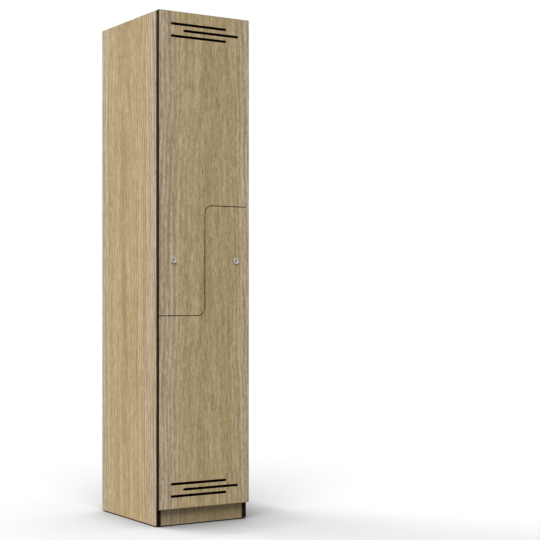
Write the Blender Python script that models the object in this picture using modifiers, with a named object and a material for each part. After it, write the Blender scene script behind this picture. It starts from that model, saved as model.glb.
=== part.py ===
"""Two-door Z locker: a laminated carcass, two interlocking L-shaped doors, cup hinges and cam locks.

Metres, +Z up, the doors face -Y. The origin is on the floor, under the middle of the whole locker.
Each hinge is laid out in plan by two distances: how far in from the side's outer face, and how far
back from the back of the closed door. The same layout serves the left side and, mirrored, the right.
"""

import math

import bmesh
import bpy
from mathutils import Vector

# Whole locker
WIDTH = 0.380
DEPTH = 0.455
HEIGHT = 1.850
BOARD = 0.018
FIT = 0.0003
OVERRUN = 0.002
UNIT = 1
MERGE = 0.00001

# Carcass
GLIDE_HEIGHT = 0.004
GLIDE_RADIUS = 0.008
GLIDE_INSET = 0.040
DOOR_BOTTOM = 0.064
BACK_THICKNESS = 0.008
KICK_SETBACK = 0.002
BAND = 0.0008

# Doors: the Z line between them runs as far above the locks as below them
LOCK_HEIGHT = 0.957
LINE_FROM_LOCK = 0.200
DOOR_GAP = 0.002
CARCASS_GAP = 0.002
LINE_RADIUS = 0.030
CORNER_STEPS = 10

# Vent slots
SLOT_LENGTH = 0.233
SLOT_HEIGHT = 0.0094
SLOT_MARGIN = 0.048
SLOT_PITCH = 0.022
SLOT_FIRST = 0.045
SLOT_ROWS = 3
SLOT_STEPS = 8

# Hinges: where they sit, then the cup
HINGE_FROM_LINE = 0.101
HINGE_FROM_END = 0.115
CUP_EDGE = 0.004
CUP_RADIUS = 0.0175
CUP_WALL = 0.001
CUP_DEPTH = 0.013
CUP_FLOOR = 0.0008
FLANGE_WIDTH = 0.003
FLANGE_THICKNESS = 0.0012
CUP_STEPS = 24
NOTCH_HALF = 0.0066

# Hinge pins, counted from the cup's centre and the door's back, or from the side panel's inner face
# and the carcass's front
FRONT_CUP_PIN_OUT = 0.0138
FRONT_CUP_PIN_DEEP = 0.0028
REAR_CUP_PIN_OUT = 0.0101
REAR_CUP_PIN_DEEP = 0.0086
FRONT_ARM_PIN_IN = 0.0059
FRONT_ARM_PIN_BACK = 0.0185
REAR_ARM_PIN_IN = 0.0066
REAR_ARM_PIN_BACK = 0.0279
PIN_RADIUS = 0.0009
PIN_PLAY = 0.0002
PIN_STEPS = 12

# Hinge links
LINK_HALF_WIDTH = 0.0012
SMALL_EYE = 0.0017
LARGE_EYE = 0.0022
LINK_THICKNESS = 0.005
LINK_SPACING = 0.0006
FRONT_HOOK_LENGTH = 0.0093
FRONT_HOOK_ANGLE = math.radians(-50)
FRONT_BEND_IN = 0.0022
FRONT_BEND_DEEP = 0.005
REAR_HOOK_LENGTH = 0.015
REAR_HOOK_ANGLE = math.radians(4)
REAR_BEND_SHARE = 0.74
REAR_SLOT_TRAVEL = 0.0039
REAR_SLOT_PLAY = 0.0005
EYE_STEPS = 10

# Hinge arm and mounting plate
ARM_HALF_HEIGHT = 0.0074
ARM_WALL = 0.0012
ARM_LENGTH = 0.058
ARM_NOSE = 0.0035
ARM_DEEP = 0.012
PLATE_THICKNESS = 0.002
PLATE_START = 0.009
WING_FROM_FRONT = 0.037
WING_LENGTH = 0.014
WING_HALF_SPAN = 0.024

# Locks
LOCK_FROM_SIDE = 0.058
LOCK_PROUD = 0.0045
LOCK_FACE_RADIUS = 0.0115
LOCK_FACE_ROUND = 0.0012
LOCK_BARREL_RADIUS = 0.0092
LOCK_BARREL_PAST = 0.007
LOCK_CORE_RADIUS = 0.0065
LOCK_CORE_RECESS = 0.0006
LOCK_STEPS = 24
NUT_ACROSS = 0.0135
NUT_THICKNESS = 0.004
NUT_SIDES = 6
KEYHOLE_LENGTH = 0.0075
KEYHOLE_WIDTH = 0.0016
KEYHOLE_DEPTH = 0.012
CAM_REACH = 0.036
CAM_HALF_WIDTH = 0.007
CAM_THICKNESS = 0.0025
CAM_TIP_RADIUS = 0.005
STEM_RADIUS = 0.0035
CAM_SCREW_RADIUS = 0.0048
CAM_SCREW_THICKNESS = 0.0024

# Strike plates
STRIKE_HALF_HEIGHT = 0.012
STRIKE_THICKNESS = 0.002
STRIKE_LIP = 0.0125
STRIKE_FOOT = 0.026
STRIKE_TO_CAM = 0.0009

# Coat hooks
HOOK_FROM_TOP = 0.110
HOOK_PLATE_HALF_WIDTH = 0.011
HOOK_PLATE_HALF_HEIGHT = 0.026
HOOK_PLATE_THICKNESS = 0.003
HOOK_WIRE_RADIUS = 0.0035
HOOK_REACH = 0.034
HOOK_DROP = 0.014
HOOK_RISE = 0.010
HOOK_BEND_STEPS = 10

# Places worked out from the sizes above
HALF_WIDTH = WIDTH / 2
DOOR_FRONT = (LOCK_PROUD - DEPTH) / 2
DOOR_BACK = DOOR_FRONT + BOARD
BACK = (LOCK_PROUD + DEPTH) / 2
CARCASS_FRONT = DOOR_BACK + CARCASS_GAP
BOARD_FRONT = CARCASS_FRONT + BAND + FIT
INNER_BACK = BACK - BACK_THICKNESS
HALF_INSIDE = HALF_WIDTH - BOARD
BOTTOM_TOP = DOOR_BOTTOM + BOARD
TOP_UNDER = HEIGHT - BOARD
UPPER_LINE = LOCK_HEIGHT + LINE_FROM_LOCK
LOWER_LINE = LOCK_HEIGHT - LINE_FROM_LOCK
CUP_IN = CUP_EDGE + CUP_RADIUS

FRONT_CUP_PIN = Vector((CUP_IN - FRONT_CUP_PIN_OUT, -FRONT_CUP_PIN_DEEP))
REAR_CUP_PIN = Vector((CUP_IN - REAR_CUP_PIN_OUT, -REAR_CUP_PIN_DEEP))
FRONT_ARM_PIN = Vector((BOARD + FRONT_ARM_PIN_IN, CARCASS_GAP + FRONT_ARM_PIN_BACK))
REAR_ARM_PIN = Vector((BOARD + REAR_ARM_PIN_IN, CARCASS_GAP + REAR_ARM_PIN_BACK))

LEFT = -1
RIGHT = 1

COLOURS = {
    "oak": ((0.50, 0.38, 0.22, 1), 0.55, 0),
    "black_edging": ((0.02, 0.017, 0.015, 1), 0.5, 0),
    "black_plastic": ((0.02, 0.02, 0.02, 1), 0.6, 0),
    "nickel": ((0.62, 0.61, 0.58, 1), 0.3, 1),
    "steel": ((0.55, 0.55, 0.56, 1), 0.35, 1),
}


def collection(name):
    """A new collection in the scene."""
    made = bpy.data.collections.new(name)
    bpy.context.scene.collection.children.link(made)
    return made


def material(name):
    """The named finish, made once."""
    found = bpy.data.materials.get(name)
    if found:
        return found
    colour, roughness, metallic = COLOURS[name]
    made = bpy.data.materials.new(name)
    made.use_nodes = True
    shader = made.node_tree.nodes["Principled BSDF"]
    shader.inputs["Base Color"].default_value = colour
    shader.inputs["Roughness"].default_value = roughness
    shader.inputs["Metallic"].default_value = metallic
    made.diffuse_color = colour
    return made


def add_object(name, mesh, finish):
    """An object in the locker's collection, with its finish."""
    mesh.name = name
    made = bpy.data.objects.new(name, mesh)
    if finish:
        mesh.materials.clear()
        mesh.materials.append(material(finish))
        bpy.data.collections["z_locker"].objects.link(made)
    else:
        made.hide_render = True
        made.display_type = "WIRE"
        bpy.data.collections["cutters"].objects.link(made)
    return made


def axis_empty(name, x, y):
    """An empty on a vertical joint axis, or at the origin for what stands still."""
    made = bpy.data.objects.new(name, None)
    made.location = (x, y, 0)
    bpy.data.collections["z_locker"].objects.link(made)
    return made


def place(piece, carrier, location):
    """Parents the piece to its carrier, at a world location."""
    piece.parent = carrier
    piece.location = Vector(location) - carrier.location
    return piece


def box(name, finish, carrier, low, high):
    """A box between two world corners, with its origin at its middle."""
    low, high = Vector(low), Vector(high)
    mesh = bpy.data.meshes.new(name)
    shape = bmesh.new()
    bmesh.ops.create_cube(shape, size=UNIT)
    bmesh.ops.scale(shape, vec=high - low, verts=shape.verts)
    shape.to_mesh(mesh)
    shape.free()
    return place(add_object(name, mesh, finish), carrier, (low + high) / 2)


def cylinder(name, finish, carrier, location, radius, length, steps):
    """An upright cylinder, centred on a world location."""
    mesh = bpy.data.meshes.new(name)
    shape = bmesh.new()
    bmesh.ops.create_cone(shape, cap_ends=True, segments=steps, radius1=radius, radius2=radius, depth=length)
    shape.to_mesh(mesh)
    shape.free()
    return place(add_object(name, mesh, finish), carrier, location)


def turned(name, finish, carrier, location, profile, steps, facing):
    """A turned piece: the profile's (radius, height) points, its top facing -Y (1) or +Y (-1)."""
    mesh = bpy.data.meshes.new(name)
    mesh.from_pydata(
        [(radius, 0, height) for radius, height in profile],
        [(i, i + 1) for i in range(len(profile) - 1)],
        [],
    )
    piece = place(add_object(name, mesh, finish), carrier, location)
    piece.rotation_euler.x = facing * math.pi / 2
    screw = piece.modifiers.new("Turn", "SCREW")
    screw.steps = steps
    screw.render_steps = steps
    screw.use_merge_vertices = True
    screw.merge_threshold = MERGE
    return piece


def mesh_of_curve(curve_object):
    """The curve's evaluated mesh, with its caps welded on, and the curve removed."""
    graph = bpy.context.evaluated_depsgraph_get()
    mesh = bpy.data.meshes.new_from_object(curve_object.evaluated_get(graph))
    curve = curve_object.data
    bpy.data.objects.remove(curve_object)
    bpy.data.curves.remove(curve)
    shape = bmesh.new()
    shape.from_mesh(mesh)
    bmesh.ops.remove_doubles(shape, verts=shape.verts, dist=MERGE)
    bmesh.ops.recalc_face_normals(shape, faces=shape.faces)
    shape.to_mesh(mesh)
    shape.free()
    return mesh


def flat_mesh(name, outlines, thickness):
    """A flat plate: the first outline is its edge and the others are holes. It is centred in thickness."""
    curve = bpy.data.curves.new(name, "CURVE")
    curve.dimensions = "2D"
    curve.fill_mode = "BOTH"
    curve.extrude = thickness / 2
    for outline in outlines:
        spline = curve.splines.new("POLY")
        spline.points.add(len(outline) - 1)
        for point, (x, y) in zip(spline.points, outline):
            point.co = (x, y, 0, 1)
        spline.use_cyclic_u = True
    piece = bpy.data.objects.new(name, curve)
    bpy.context.scene.collection.objects.link(piece)
    return mesh_of_curve(piece)


def arc(centre, radius, start, sweep, steps):
    """Points on an arc, both ends included."""
    return [
        (
            centre[0] + radius * math.cos(start + sweep * i / steps),
            centre[1] + radius * math.sin(start + sweep * i / steps),
        )
        for i in range(steps + 1)
    ]


def circle(centre, radius, steps):
    """Points round a whole circle."""
    return arc(centre, radius, 0, 2 * math.pi, steps)[:-1]


def stadium(start, end, radius, steps):
    """The outline of a slot with round ends, between its two end centres."""
    heading = math.atan2(end[1] - start[1], end[0] - start[0])
    return arc(end, radius, heading - math.pi / 2, math.pi, steps) + arc(
        start, radius, heading + math.pi / 2, math.pi, steps
    )


def cut(piece, cutter, operation="DIFFERENCE"):
    """Cuts the cutter out of the piece, or joins it on."""
    modifier = piece.modifiers.new(cutter.name, "BOOLEAN")
    modifier.operation = operation
    modifier.solver = "EXACT"
    modifier.object = cutter
    return piece


def rounded_turn(corner, radius, start, clockwise):
    """Points round an L-shaped outline's inner or outer rounded corner."""
    sweep = -math.pi / 2 if clockwise else math.pi / 2
    return arc(corner, radius, start, sweep, CORNER_STEPS)


def upper_outline(inset):
    """The upper door's outline in front view, drawn in by the inset: its leg is on the left."""
    left = -HALF_WIDTH + inset
    right = HALF_WIDTH - inset
    top = HEIGHT - inset
    leg_bottom = LOWER_LINE + DOOR_GAP / 2 + inset
    leg_right = -DOOR_GAP / 2 - inset
    step_bottom = UPPER_LINE + DOOR_GAP / 2 + inset
    outer = LINE_RADIUS - DOOR_GAP / 2 - inset
    inner = LINE_RADIUS + DOOR_GAP / 2 + inset
    foot = (leg_right - outer, leg_bottom + outer)
    throat = (leg_right + inner, step_bottom - inner)
    return (
        [(left, top), (left, leg_bottom)]
        + rounded_turn(foot, outer, -math.pi / 2, False)
        + rounded_turn(throat, inner, math.pi, True)
        + [(right, step_bottom), (right, top)]
    )


def lower_outline(inset):
    """The lower door's outline: the upper one turned half round, and as high from its own end."""
    middle = UPPER_LINE + LOWER_LINE
    end = DOOR_BOTTOM + inset
    turned_round = [(-x, middle - z) for x, z in upper_outline(inset)]
    lowest = min(z for _, z in turned_round)
    return [(x, end if z == lowest else z) for x, z in turned_round]


def slot_outlines(first_height, step):
    """Three vent slots. The middle one is shifted to the other margin."""
    outlines = []
    radius = SLOT_HEIGHT / 2
    for row in range(SLOT_ROWS):
        height = first_height + step * row
        near = -HALF_WIDTH + SLOT_MARGIN
        if row % 2:
            near = HALF_WIDTH - SLOT_MARGIN - SLOT_LENGTH
        start = (near + radius, height)
        end = (near + SLOT_LENGTH - radius, height)
        outlines.append(stadium(start, end, radius, SLOT_STEPS))
    return outlines


def build_carcass(carcass):
    """The boards, their black front edges and the glides."""
    for name, side in (("left", LEFT), ("right", RIGHT)):
        inner, outer = sorted((side * HALF_INSIDE, side * HALF_WIDTH))
        box(
            f"{name}_side_panel", "oak", carcass,
            (inner, BOARD_FRONT, GLIDE_HEIGHT), (outer, BACK, HEIGHT),
        )
        box(
            f"{name}_side_edging", "black_edging", carcass,
            (inner, CARCASS_FRONT, GLIDE_HEIGHT), (outer, CARCASS_FRONT + BAND, HEIGHT),
        )
        for place_name, y in (("front", CARCASS_FRONT + GLIDE_INSET), ("rear", BACK - GLIDE_INSET)):
            height = GLIDE_HEIGHT - FIT
            cylinder(
                f"{name}_{place_name}_glide", "black_plastic", carcass,
                (side * (HALF_WIDTH - BOARD / 2), y, height / 2), GLIDE_RADIUS, height, LOCK_STEPS,
            )
    reach = HALF_INSIDE - FIT
    for name, low in (("top", TOP_UNDER), ("bottom", DOOR_BOTTOM)):
        box(f"{name}_panel", "oak", carcass, (-reach, BOARD_FRONT, low), (reach, BACK, low + BOARD))
        box(
            f"{name}_edging", "black_edging", carcass,
            (-reach, CARCASS_FRONT, low), (reach, CARCASS_FRONT + BAND, low + BOARD),
        )
    box(
        "back_panel", "oak", carcass,
        (-reach, INNER_BACK, BOTTOM_TOP + FIT), (reach, BACK, TOP_UNDER - FIT),
    )
    kick_front = CARCASS_FRONT + KICK_SETBACK
    kick_top = DOOR_BOTTOM - FIT
    box("kick_plate", "oak", carcass, (-reach, kick_front, GLIDE_HEIGHT), (reach, kick_front + BOARD, kick_top))
    box("rear_rail", "oak", carcass, (-reach, BACK - BOARD, GLIDE_HEIGHT), (reach, BACK, kick_top))


def build_inner_boards(carcass):
    """The partition and the two half shelves, which follow the line between the doors."""
    half = BOARD / 2
    inner_end = INNER_BACK - FIT
    reach = HALF_INSIDE - FIT
    spans = {
        "partition": ((-half, LOWER_LINE - half), (half, UPPER_LINE + half)),
        "upper_shelf": ((half + FIT, UPPER_LINE - half), (reach, UPPER_LINE + half)),
        "lower_shelf": ((-reach, LOWER_LINE - half), (-half - FIT, LOWER_LINE + half)),
    }
    for name, (low, high) in spans.items():
        box(name, "oak", carcass, (low[0], BOARD_FRONT, low[1]), (high[0], inner_end, high[1]))
        box(
            f"{name}_edging", "black_edging", carcass,
            (low[0], CARCASS_FRONT, low[1]), (high[0], CARCASS_FRONT + BAND, high[1]),
        )


def door_board(name, carrier, outline, slots, lock_x, hinge_side, hinge_heights):
    """A door panel with its slots, lock hole and cup bores, and the edging round it."""
    hole = circle((lock_x, LOCK_HEIGHT), LOCK_BARREL_RADIUS + FIT, LOCK_STEPS)
    middle = (DOOR_FRONT + DOOR_BACK) / 2
    panel_mesh = flat_mesh(f"{name}_panel", [outline(BAND + FIT), *slots, hole], BOARD)
    panel = place(add_object(f"{name}_panel", panel_mesh, "oak"), carrier, (0, middle, 0))
    panel.rotation_euler.x = math.pi / 2
    ring_mesh = flat_mesh(f"{name}_edging", [outline(0), outline(BAND)], BOARD)
    ring = place(add_object(f"{name}_edging", ring_mesh, "black_edging"), carrier, (0, middle, 0))
    ring.rotation_euler.x = math.pi / 2
    for i, height in enumerate(hinge_heights):
        centre = (hinge_side * (HALF_WIDTH - CUP_IN), DOOR_BACK, height)
        deep = CUP_DEPTH + FIT
        bore = turned(
            f"{name}_cup_bore_{i}", None, carrier, centre,
            [(0, OVERRUN), (CUP_RADIUS + FIT, OVERRUN), (CUP_RADIUS + FIT, -deep), (0, -deep)],
            CUP_STEPS, -1,
        )
        cut(panel, bore)
    return panel


def plan_point(side, point):
    """A hinge layout point as world x and y."""
    return (side * (HALF_WIDTH - point[0]), DOOR_BACK + point[1])


def strap_outline(path, widths, start_radius, end_radius):
    """The outline of a flat link along a path, with half widths at each point and a round eye at each end."""
    headings = [math.atan2(b.y - a.y, b.x - a.x) for a, b in zip(path, path[1:])]
    start_lean = math.asin(widths[0] / start_radius)
    end_lean = math.asin(widths[-1] / end_radius)
    right_side, left_side = [], []
    for i in range(1, len(path) - 1):
        turn = (headings[i] - headings[i - 1]) / 2
        across = headings[i - 1] + turn + math.pi / 2
        reach = widths[i] / math.cos(turn)
        step = Vector((math.cos(across), math.sin(across))) * reach
        right_side.append(tuple(path[i] - step))
        left_side.append(tuple(path[i] + step))
    end_arc = arc(
        path[-1], end_radius, headings[-1] + math.pi + end_lean, 2 * (math.pi - end_lean), EYE_STEPS
    )
    start_arc = arc(path[0], start_radius, headings[0] + start_lean, 2 * (math.pi - start_lean), EYE_STEPS)
    return right_side + end_arc + left_side[::-1] + start_arc


def along(start, length, angle):
    """The point at this length and angle from the start."""
    return start + length * Vector((math.cos(angle), math.sin(angle)))


def build_link(name, carrier, side, height, outlines):
    """A flat link at a height, its outlines laid out in plan."""
    placed = [[plan_point(side, point) for point in outline] for outline in outlines]
    local = [[(x - carrier.location.x, y - carrier.location.y) for x, y in outline] for outline in placed]
    piece = add_object(name, flat_mesh(name, local, LINK_THICKNESS), "steel")
    piece.parent = carrier
    piece.location.z = height
    return piece


def front_link_outlines():
    """The hooked front link: from the cup's front pin, along the cup's floor, to the arm's front pin."""
    knee = along(FRONT_CUP_PIN, FRONT_HOOK_LENGTH, FRONT_HOOK_ANGLE)
    bend = Vector((BOARD + FRONT_BEND_IN, -FRONT_BEND_DEEP))
    path = [FRONT_CUP_PIN, knee, bend, FRONT_ARM_PIN]
    edge = strap_outline(path, [LINK_HALF_WIDTH] * len(path), SMALL_EYE, LARGE_EYE)
    hole = PIN_RADIUS + PIN_PLAY
    return [edge, circle(FRONT_CUP_PIN, hole, PIN_STEPS), circle(FRONT_ARM_PIN, hole, PIN_STEPS)]


def rear_link_outlines():
    """The rear link: hooked in the cup too, and slotted where it slides a little on the arm's rear pin."""
    knee = along(REAR_CUP_PIN, REAR_HOOK_LENGTH, REAR_HOOK_ANGLE)
    span = REAR_ARM_PIN - REAR_CUP_PIN
    bend = REAR_CUP_PIN + REAR_BEND_SHARE * span
    slot_end = REAR_ARM_PIN + span.normalized() * REAR_SLOT_TRAVEL
    path = [REAR_CUP_PIN, knee, bend, REAR_ARM_PIN, slot_end]
    widths = [LINK_HALF_WIDTH, LINK_HALF_WIDTH, LINK_HALF_WIDTH, LARGE_EYE, LARGE_EYE]
    edge = strap_outline(path, widths, LARGE_EYE, LARGE_EYE)
    return [
        edge,
        circle(REAR_CUP_PIN, PIN_RADIUS + PIN_PLAY, PIN_STEPS),
        stadium(REAR_ARM_PIN, slot_end, PIN_RADIUS + REAR_SLOT_PLAY, PIN_STEPS // 2),
    ]


def hinge_pin(name, carrier, side, point, low, high):
    """An upright pin, joined to the cup or the arm that holds it."""
    x, y = plan_point(side, point)
    return cylinder(name, None, carrier, (x, y, (low + high) / 2), PIN_RADIUS, high - low, PIN_STEPS)


def build_cup(name, carrier, side, height):
    """The cup, open to the carcass, with a notch in its rim for the links and its two pins."""
    rim = FIT + FLANGE_THICKNESS
    hollow = CUP_RADIUS - CUP_WALL
    flange = CUP_RADIUS + FLANGE_WIDTH
    cup = turned(
        name, "steel", carrier, (side * (HALF_WIDTH - CUP_IN), DOOR_BACK, height),
        [
            (0, CUP_FLOOR - CUP_DEPTH), (hollow, CUP_FLOOR - CUP_DEPTH), (hollow, rim), (flange, rim),
            (flange, FIT), (CUP_RADIUS, FIT), (CUP_RADIUS, -CUP_DEPTH), (0, -CUP_DEPTH),
        ],
        CUP_STEPS, -1,
    )
    outer = side * (HALF_WIDTH - CUP_EDGE + FLANGE_WIDTH + OVERRUN)
    inner = side * (HALF_WIDTH - CUP_EDGE - FLANGE_WIDTH)
    near, far = sorted((outer, inner))
    notch = box(
        f"{name}_notch", None, carrier,
        (near, DOOR_BACK, height - NOTCH_HALF), (far, DOOR_BACK + rim + OVERRUN, height + NOTCH_HALF),
    )
    cut(cup, notch)
    half = LINK_SPACING / 2
    for pin_name, point, sign in (("front", FRONT_CUP_PIN, 1), ("rear", REAR_CUP_PIN, -1)):
        across = math.sqrt(hollow**2 - (CUP_IN - point.x) ** 2) + CUP_WALL / 2
        low, high = sorted((height + sign * (half / 2), height + sign * across))
        cut(cup, hinge_pin(f"{name}_{pin_name}_pin", carrier, side, point, low, high), "UNION")
    return cup


def build_arm(name, carrier, side, height):
    """The arm: a channel that opens to the side panel, with its two pins."""
    bottom = BOARD + FIT + PLATE_THICKNESS + FIT
    top = BOARD + FIT + ARM_DEEP + ARM_WALL
    start = CARCASS_GAP + FRONT_ARM_PIN_BACK - ARM_NOSE
    low_x, low_y = plan_point(side, (bottom, start))
    high_x, high_y = plan_point(side, (top, start + ARM_LENGTH))
    near, far = sorted((low_x, high_x))
    arm = box(
        name, "steel", carrier,
        (near, low_y, height - ARM_HALF_HEIGHT), (far, high_y, height + ARM_HALF_HEIGHT),
    )
    inner_half = ARM_HALF_HEIGHT - ARM_WALL
    hollow_near, hollow_far = sorted(
        (plan_point(side, (bottom - OVERRUN, 0))[0], plan_point(side, (top - ARM_WALL, 0))[0])
    )
    hollow = box(
        f"{name}_hollow", None, carrier,
        (hollow_near, low_y - OVERRUN, height - inner_half), (hollow_far, high_y + OVERRUN, height + inner_half),
    )
    cut(arm, hollow)
    half = LINK_SPACING / 2
    for pin_name, point, sign in (("front", FRONT_ARM_PIN, 1), ("rear", REAR_ARM_PIN, -1)):
        across = inner_half + ARM_WALL / 2
        low, high = sorted((height + sign * (half / 2), height + sign * across))
        cut(arm, hinge_pin(f"{name}_{pin_name}_pin", carrier, side, point, low, high), "UNION")
    return arm


def build_mounting_plate(name, carrier, side, height):
    """The plate under the arm, with two wings that are screwed to the side panel."""
    near_x = plan_point(side, (BOARD + FIT, 0))[0]
    far_x = plan_point(side, (BOARD + FIT + PLATE_THICKNESS, 0))[0]
    near, far = sorted((near_x, far_x))
    start = CARCASS_FRONT + FRONT_ARM_PIN_BACK + PLATE_START
    end = CARCASS_FRONT + FRONT_ARM_PIN_BACK - ARM_NOSE + ARM_LENGTH
    wing = CARCASS_FRONT + WING_FROM_FRONT
    plate = box(
        name, "steel", carrier,
        (near, start, height - ARM_HALF_HEIGHT), (far, end, height + ARM_HALF_HEIGHT),
    )
    wing_cutter = box(
        f"{name}_wings", None, carrier,
        (near, wing - WING_LENGTH / 2, height - WING_HALF_SPAN),
        (far, wing + WING_LENGTH / 2, height + WING_HALF_SPAN),
    )
    return cut(plate, wing_cutter, "UNION")


def build_hinge(name, side, height, carriers):
    """One concealed hinge: cup, front link, rear link, arm and mounting plate."""
    lift = (LINK_THICKNESS + LINK_SPACING) / 2
    build_cup(f"{name}_cup", carriers["door"], side, height)
    build_link(f"{name}_front_link", carriers["front_links"], side, height + lift, front_link_outlines())
    build_link(f"{name}_rear_link", carriers["rear_links"], side, height - lift, rear_link_outlines())
    build_arm(f"{name}_arm", carriers["carcass"], side, height)
    build_mounting_plate(f"{name}_mounting_plate", carriers["carcass"], side, height)


def build_lock(name, side, door, core_axis):
    """One cam lock through a door leg, the cam hanging down where the door is unlocked."""
    x = side * (HALF_WIDTH - LOCK_FROM_SIDE)
    at = (x, DOOR_FRONT, LOCK_HEIGHT)
    barrel_end = -(BOARD + LOCK_BARREL_PAST)
    bore = LOCK_CORE_RADIUS + FIT
    turned(
        f"{name}_housing", "nickel", door, at,
        [
            (bore, LOCK_PROUD), (LOCK_FACE_RADIUS - LOCK_FACE_ROUND, LOCK_PROUD),
            (LOCK_FACE_RADIUS, LOCK_PROUD - LOCK_FACE_ROUND), (LOCK_FACE_RADIUS, FIT),
            (LOCK_BARREL_RADIUS, FIT), (LOCK_BARREL_RADIUS, barrel_end), (bore, barrel_end),
            (bore, LOCK_PROUD),
        ],
        LOCK_STEPS, 1,
    )
    cam_front = barrel_end - FIT
    cam_back = cam_front - CAM_THICKNESS
    core = turned(
        f"{name}_core", "nickel", core_axis, at,
        [
            (0, LOCK_PROUD - LOCK_CORE_RECESS), (LOCK_CORE_RADIUS, LOCK_PROUD - LOCK_CORE_RECESS),
            (LOCK_CORE_RADIUS, barrel_end), (STEM_RADIUS, barrel_end), (STEM_RADIUS, cam_back), (0, cam_back),
        ],
        LOCK_STEPS, 1,
    )
    face = DOOR_FRONT - LOCK_PROUD
    keyhole = box(
        f"{name}_keyhole", None, core_axis,
        (x - KEYHOLE_WIDTH / 2, face - OVERRUN, LOCK_HEIGHT - KEYHOLE_LENGTH / 2),
        (x + KEYHOLE_WIDTH / 2, face + KEYHOLE_DEPTH, LOCK_HEIGHT + KEYHOLE_LENGTH / 2),
    )
    cut(core, keyhole)
    nut_mesh = flat_mesh(
        f"{name}_nut",
        [circle((0, 0), NUT_ACROSS, NUT_SIDES), circle((0, 0), LOCK_BARREL_RADIUS + FIT, LOCK_STEPS)],
        NUT_THICKNESS,
    )
    nut = add_object(f"{name}_nut", nut_mesh, "nickel")
    place(nut, door, (x, DOOR_BACK + FIT + NUT_THICKNESS / 2, LOCK_HEIGHT))
    nut.rotation_euler.x = math.pi / 2
    tip = (0, CAM_TIP_RADIUS - CAM_REACH)
    cam_edge = arc((0, 0), CAM_HALF_WIDTH, 0, math.pi, CORNER_STEPS) + arc(
        tip, CAM_TIP_RADIUS, math.pi, math.pi, CORNER_STEPS
    )
    cam_mesh = flat_mesh(
        f"{name}_cam", [cam_edge, circle((0, 0), STEM_RADIUS + FIT, PIN_STEPS)], CAM_THICKNESS
    )
    cam = add_object(f"{name}_cam", cam_mesh, "steel")
    place(cam, core_axis, (x, DOOR_FRONT - (cam_front + cam_back) / 2, LOCK_HEIGHT))
    cam.rotation_euler.x = math.pi / 2
    head = cam_back - FIT
    turned(
        f"{name}_cam_screw", "steel", core_axis, at,
        [
            (0, head), (CAM_SCREW_RADIUS, head),
            (CAM_SCREW_RADIUS, head - CAM_SCREW_THICKNESS), (0, head - CAM_SCREW_THICKNESS),
        ],
        PIN_STEPS, 1,
    )


def build_strike(name, carrier, side):
    """The angle on the side panel that the turned cam catches behind."""
    cam_front = DOOR_BACK + LOCK_BARREL_PAST + FIT
    lip_back = cam_front - STRIKE_TO_CAM
    lip_front = lip_back - STRIKE_THICKNESS
    seat = HALF_INSIDE - FIT
    near, far = sorted((side * (seat - STRIKE_LIP), side * seat))
    foot_near, foot_far = sorted((side * (seat - STRIKE_THICKNESS), side * seat))
    low = LOCK_HEIGHT - STRIKE_HALF_HEIGHT
    high = LOCK_HEIGHT + STRIKE_HALF_HEIGHT
    strike = box(name, "steel", carrier, (near, lip_front, low), (far, lip_back, high))
    foot = box(
        f"{name}_foot", None, carrier,
        (foot_near, lip_front + STRIKE_THICKNESS / 2, low), (foot_far, lip_front + STRIKE_FOOT, high),
    )
    return cut(strike, foot, "UNION")


def build_hook(name, carrier, x, height):
    """A wall hook on the back panel: a plate and one bent wire."""
    seat = INNER_BACK - FIT
    plate = box(
        name, "nickel", carrier,
        (x - HOOK_PLATE_HALF_WIDTH, seat - HOOK_PLATE_THICKNESS, height - HOOK_PLATE_HALF_HEIGHT),
        (x + HOOK_PLATE_HALF_WIDTH, seat, height + HOOK_PLATE_HALF_HEIGHT),
    )
    bend = HOOK_REACH / 2
    root = seat - HOOK_PLATE_THICKNESS / 2
    path = [(root, height), (root - HOOK_PLATE_THICKNESS, height)]
    path += arc((root - bend, height - HOOK_DROP + bend), bend, -math.pi / 2, -math.pi / 2, HOOK_BEND_STEPS)
    path.append((root - HOOK_REACH, height + HOOK_RISE))
    curve = bpy.data.curves.new(f"{name}_wire", "CURVE")
    curve.dimensions = "3D"
    curve.bevel_depth = HOOK_WIRE_RADIUS
    curve.bevel_resolution = 2
    curve.use_fill_caps = True
    spline = curve.splines.new("POLY")
    spline.points.add(len(path) - 1)
    for point, (y, z) in zip(spline.points, path):
        point.co = (x, y, z, 1)
    wire = bpy.data.objects.new(f"{name}_wire", curve)
    bpy.context.scene.collection.objects.link(wire)
    wire_mesh = mesh_of_curve(wire)
    joined = place(add_object(f"{name}_wire", wire_mesh, None), carrier, (0, 0, 0))
    return cut(plate, joined, "UNION")


def build_door(name, side, outline, slots, hinge_heights, carcass):
    """A door with its board, hinges and lock. The side is the hinged one; the lock is on the other."""
    front_links = axis_empty(f"{name}_front_link_axis", *plan_point(side, FRONT_ARM_PIN))
    door = axis_empty(f"{name}_door_axis", *plan_point(side, FRONT_CUP_PIN))
    rear_links = axis_empty(f"{name}_rear_link_axis", *plan_point(side, REAR_CUP_PIN))
    lock_x = -side * (HALF_WIDTH - LOCK_FROM_SIDE)
    core_axis = axis_empty(f"{name}_lock_axis", lock_x, DOOR_FRONT)
    door_board(f"{name}_door", door, outline, slots, lock_x, side, hinge_heights)
    carriers = {"door": door, "front_links": front_links, "rear_links": rear_links, "carcass": carcass}
    for place_name, height in zip(("low", "high"), hinge_heights):
        build_hinge(f"{name}_{place_name}_hinge", side, height, carriers)
    build_lock(f"{name}_lock", -side, door, core_axis)
    build_strike(f"{name}_strike", carcass, -side)


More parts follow.
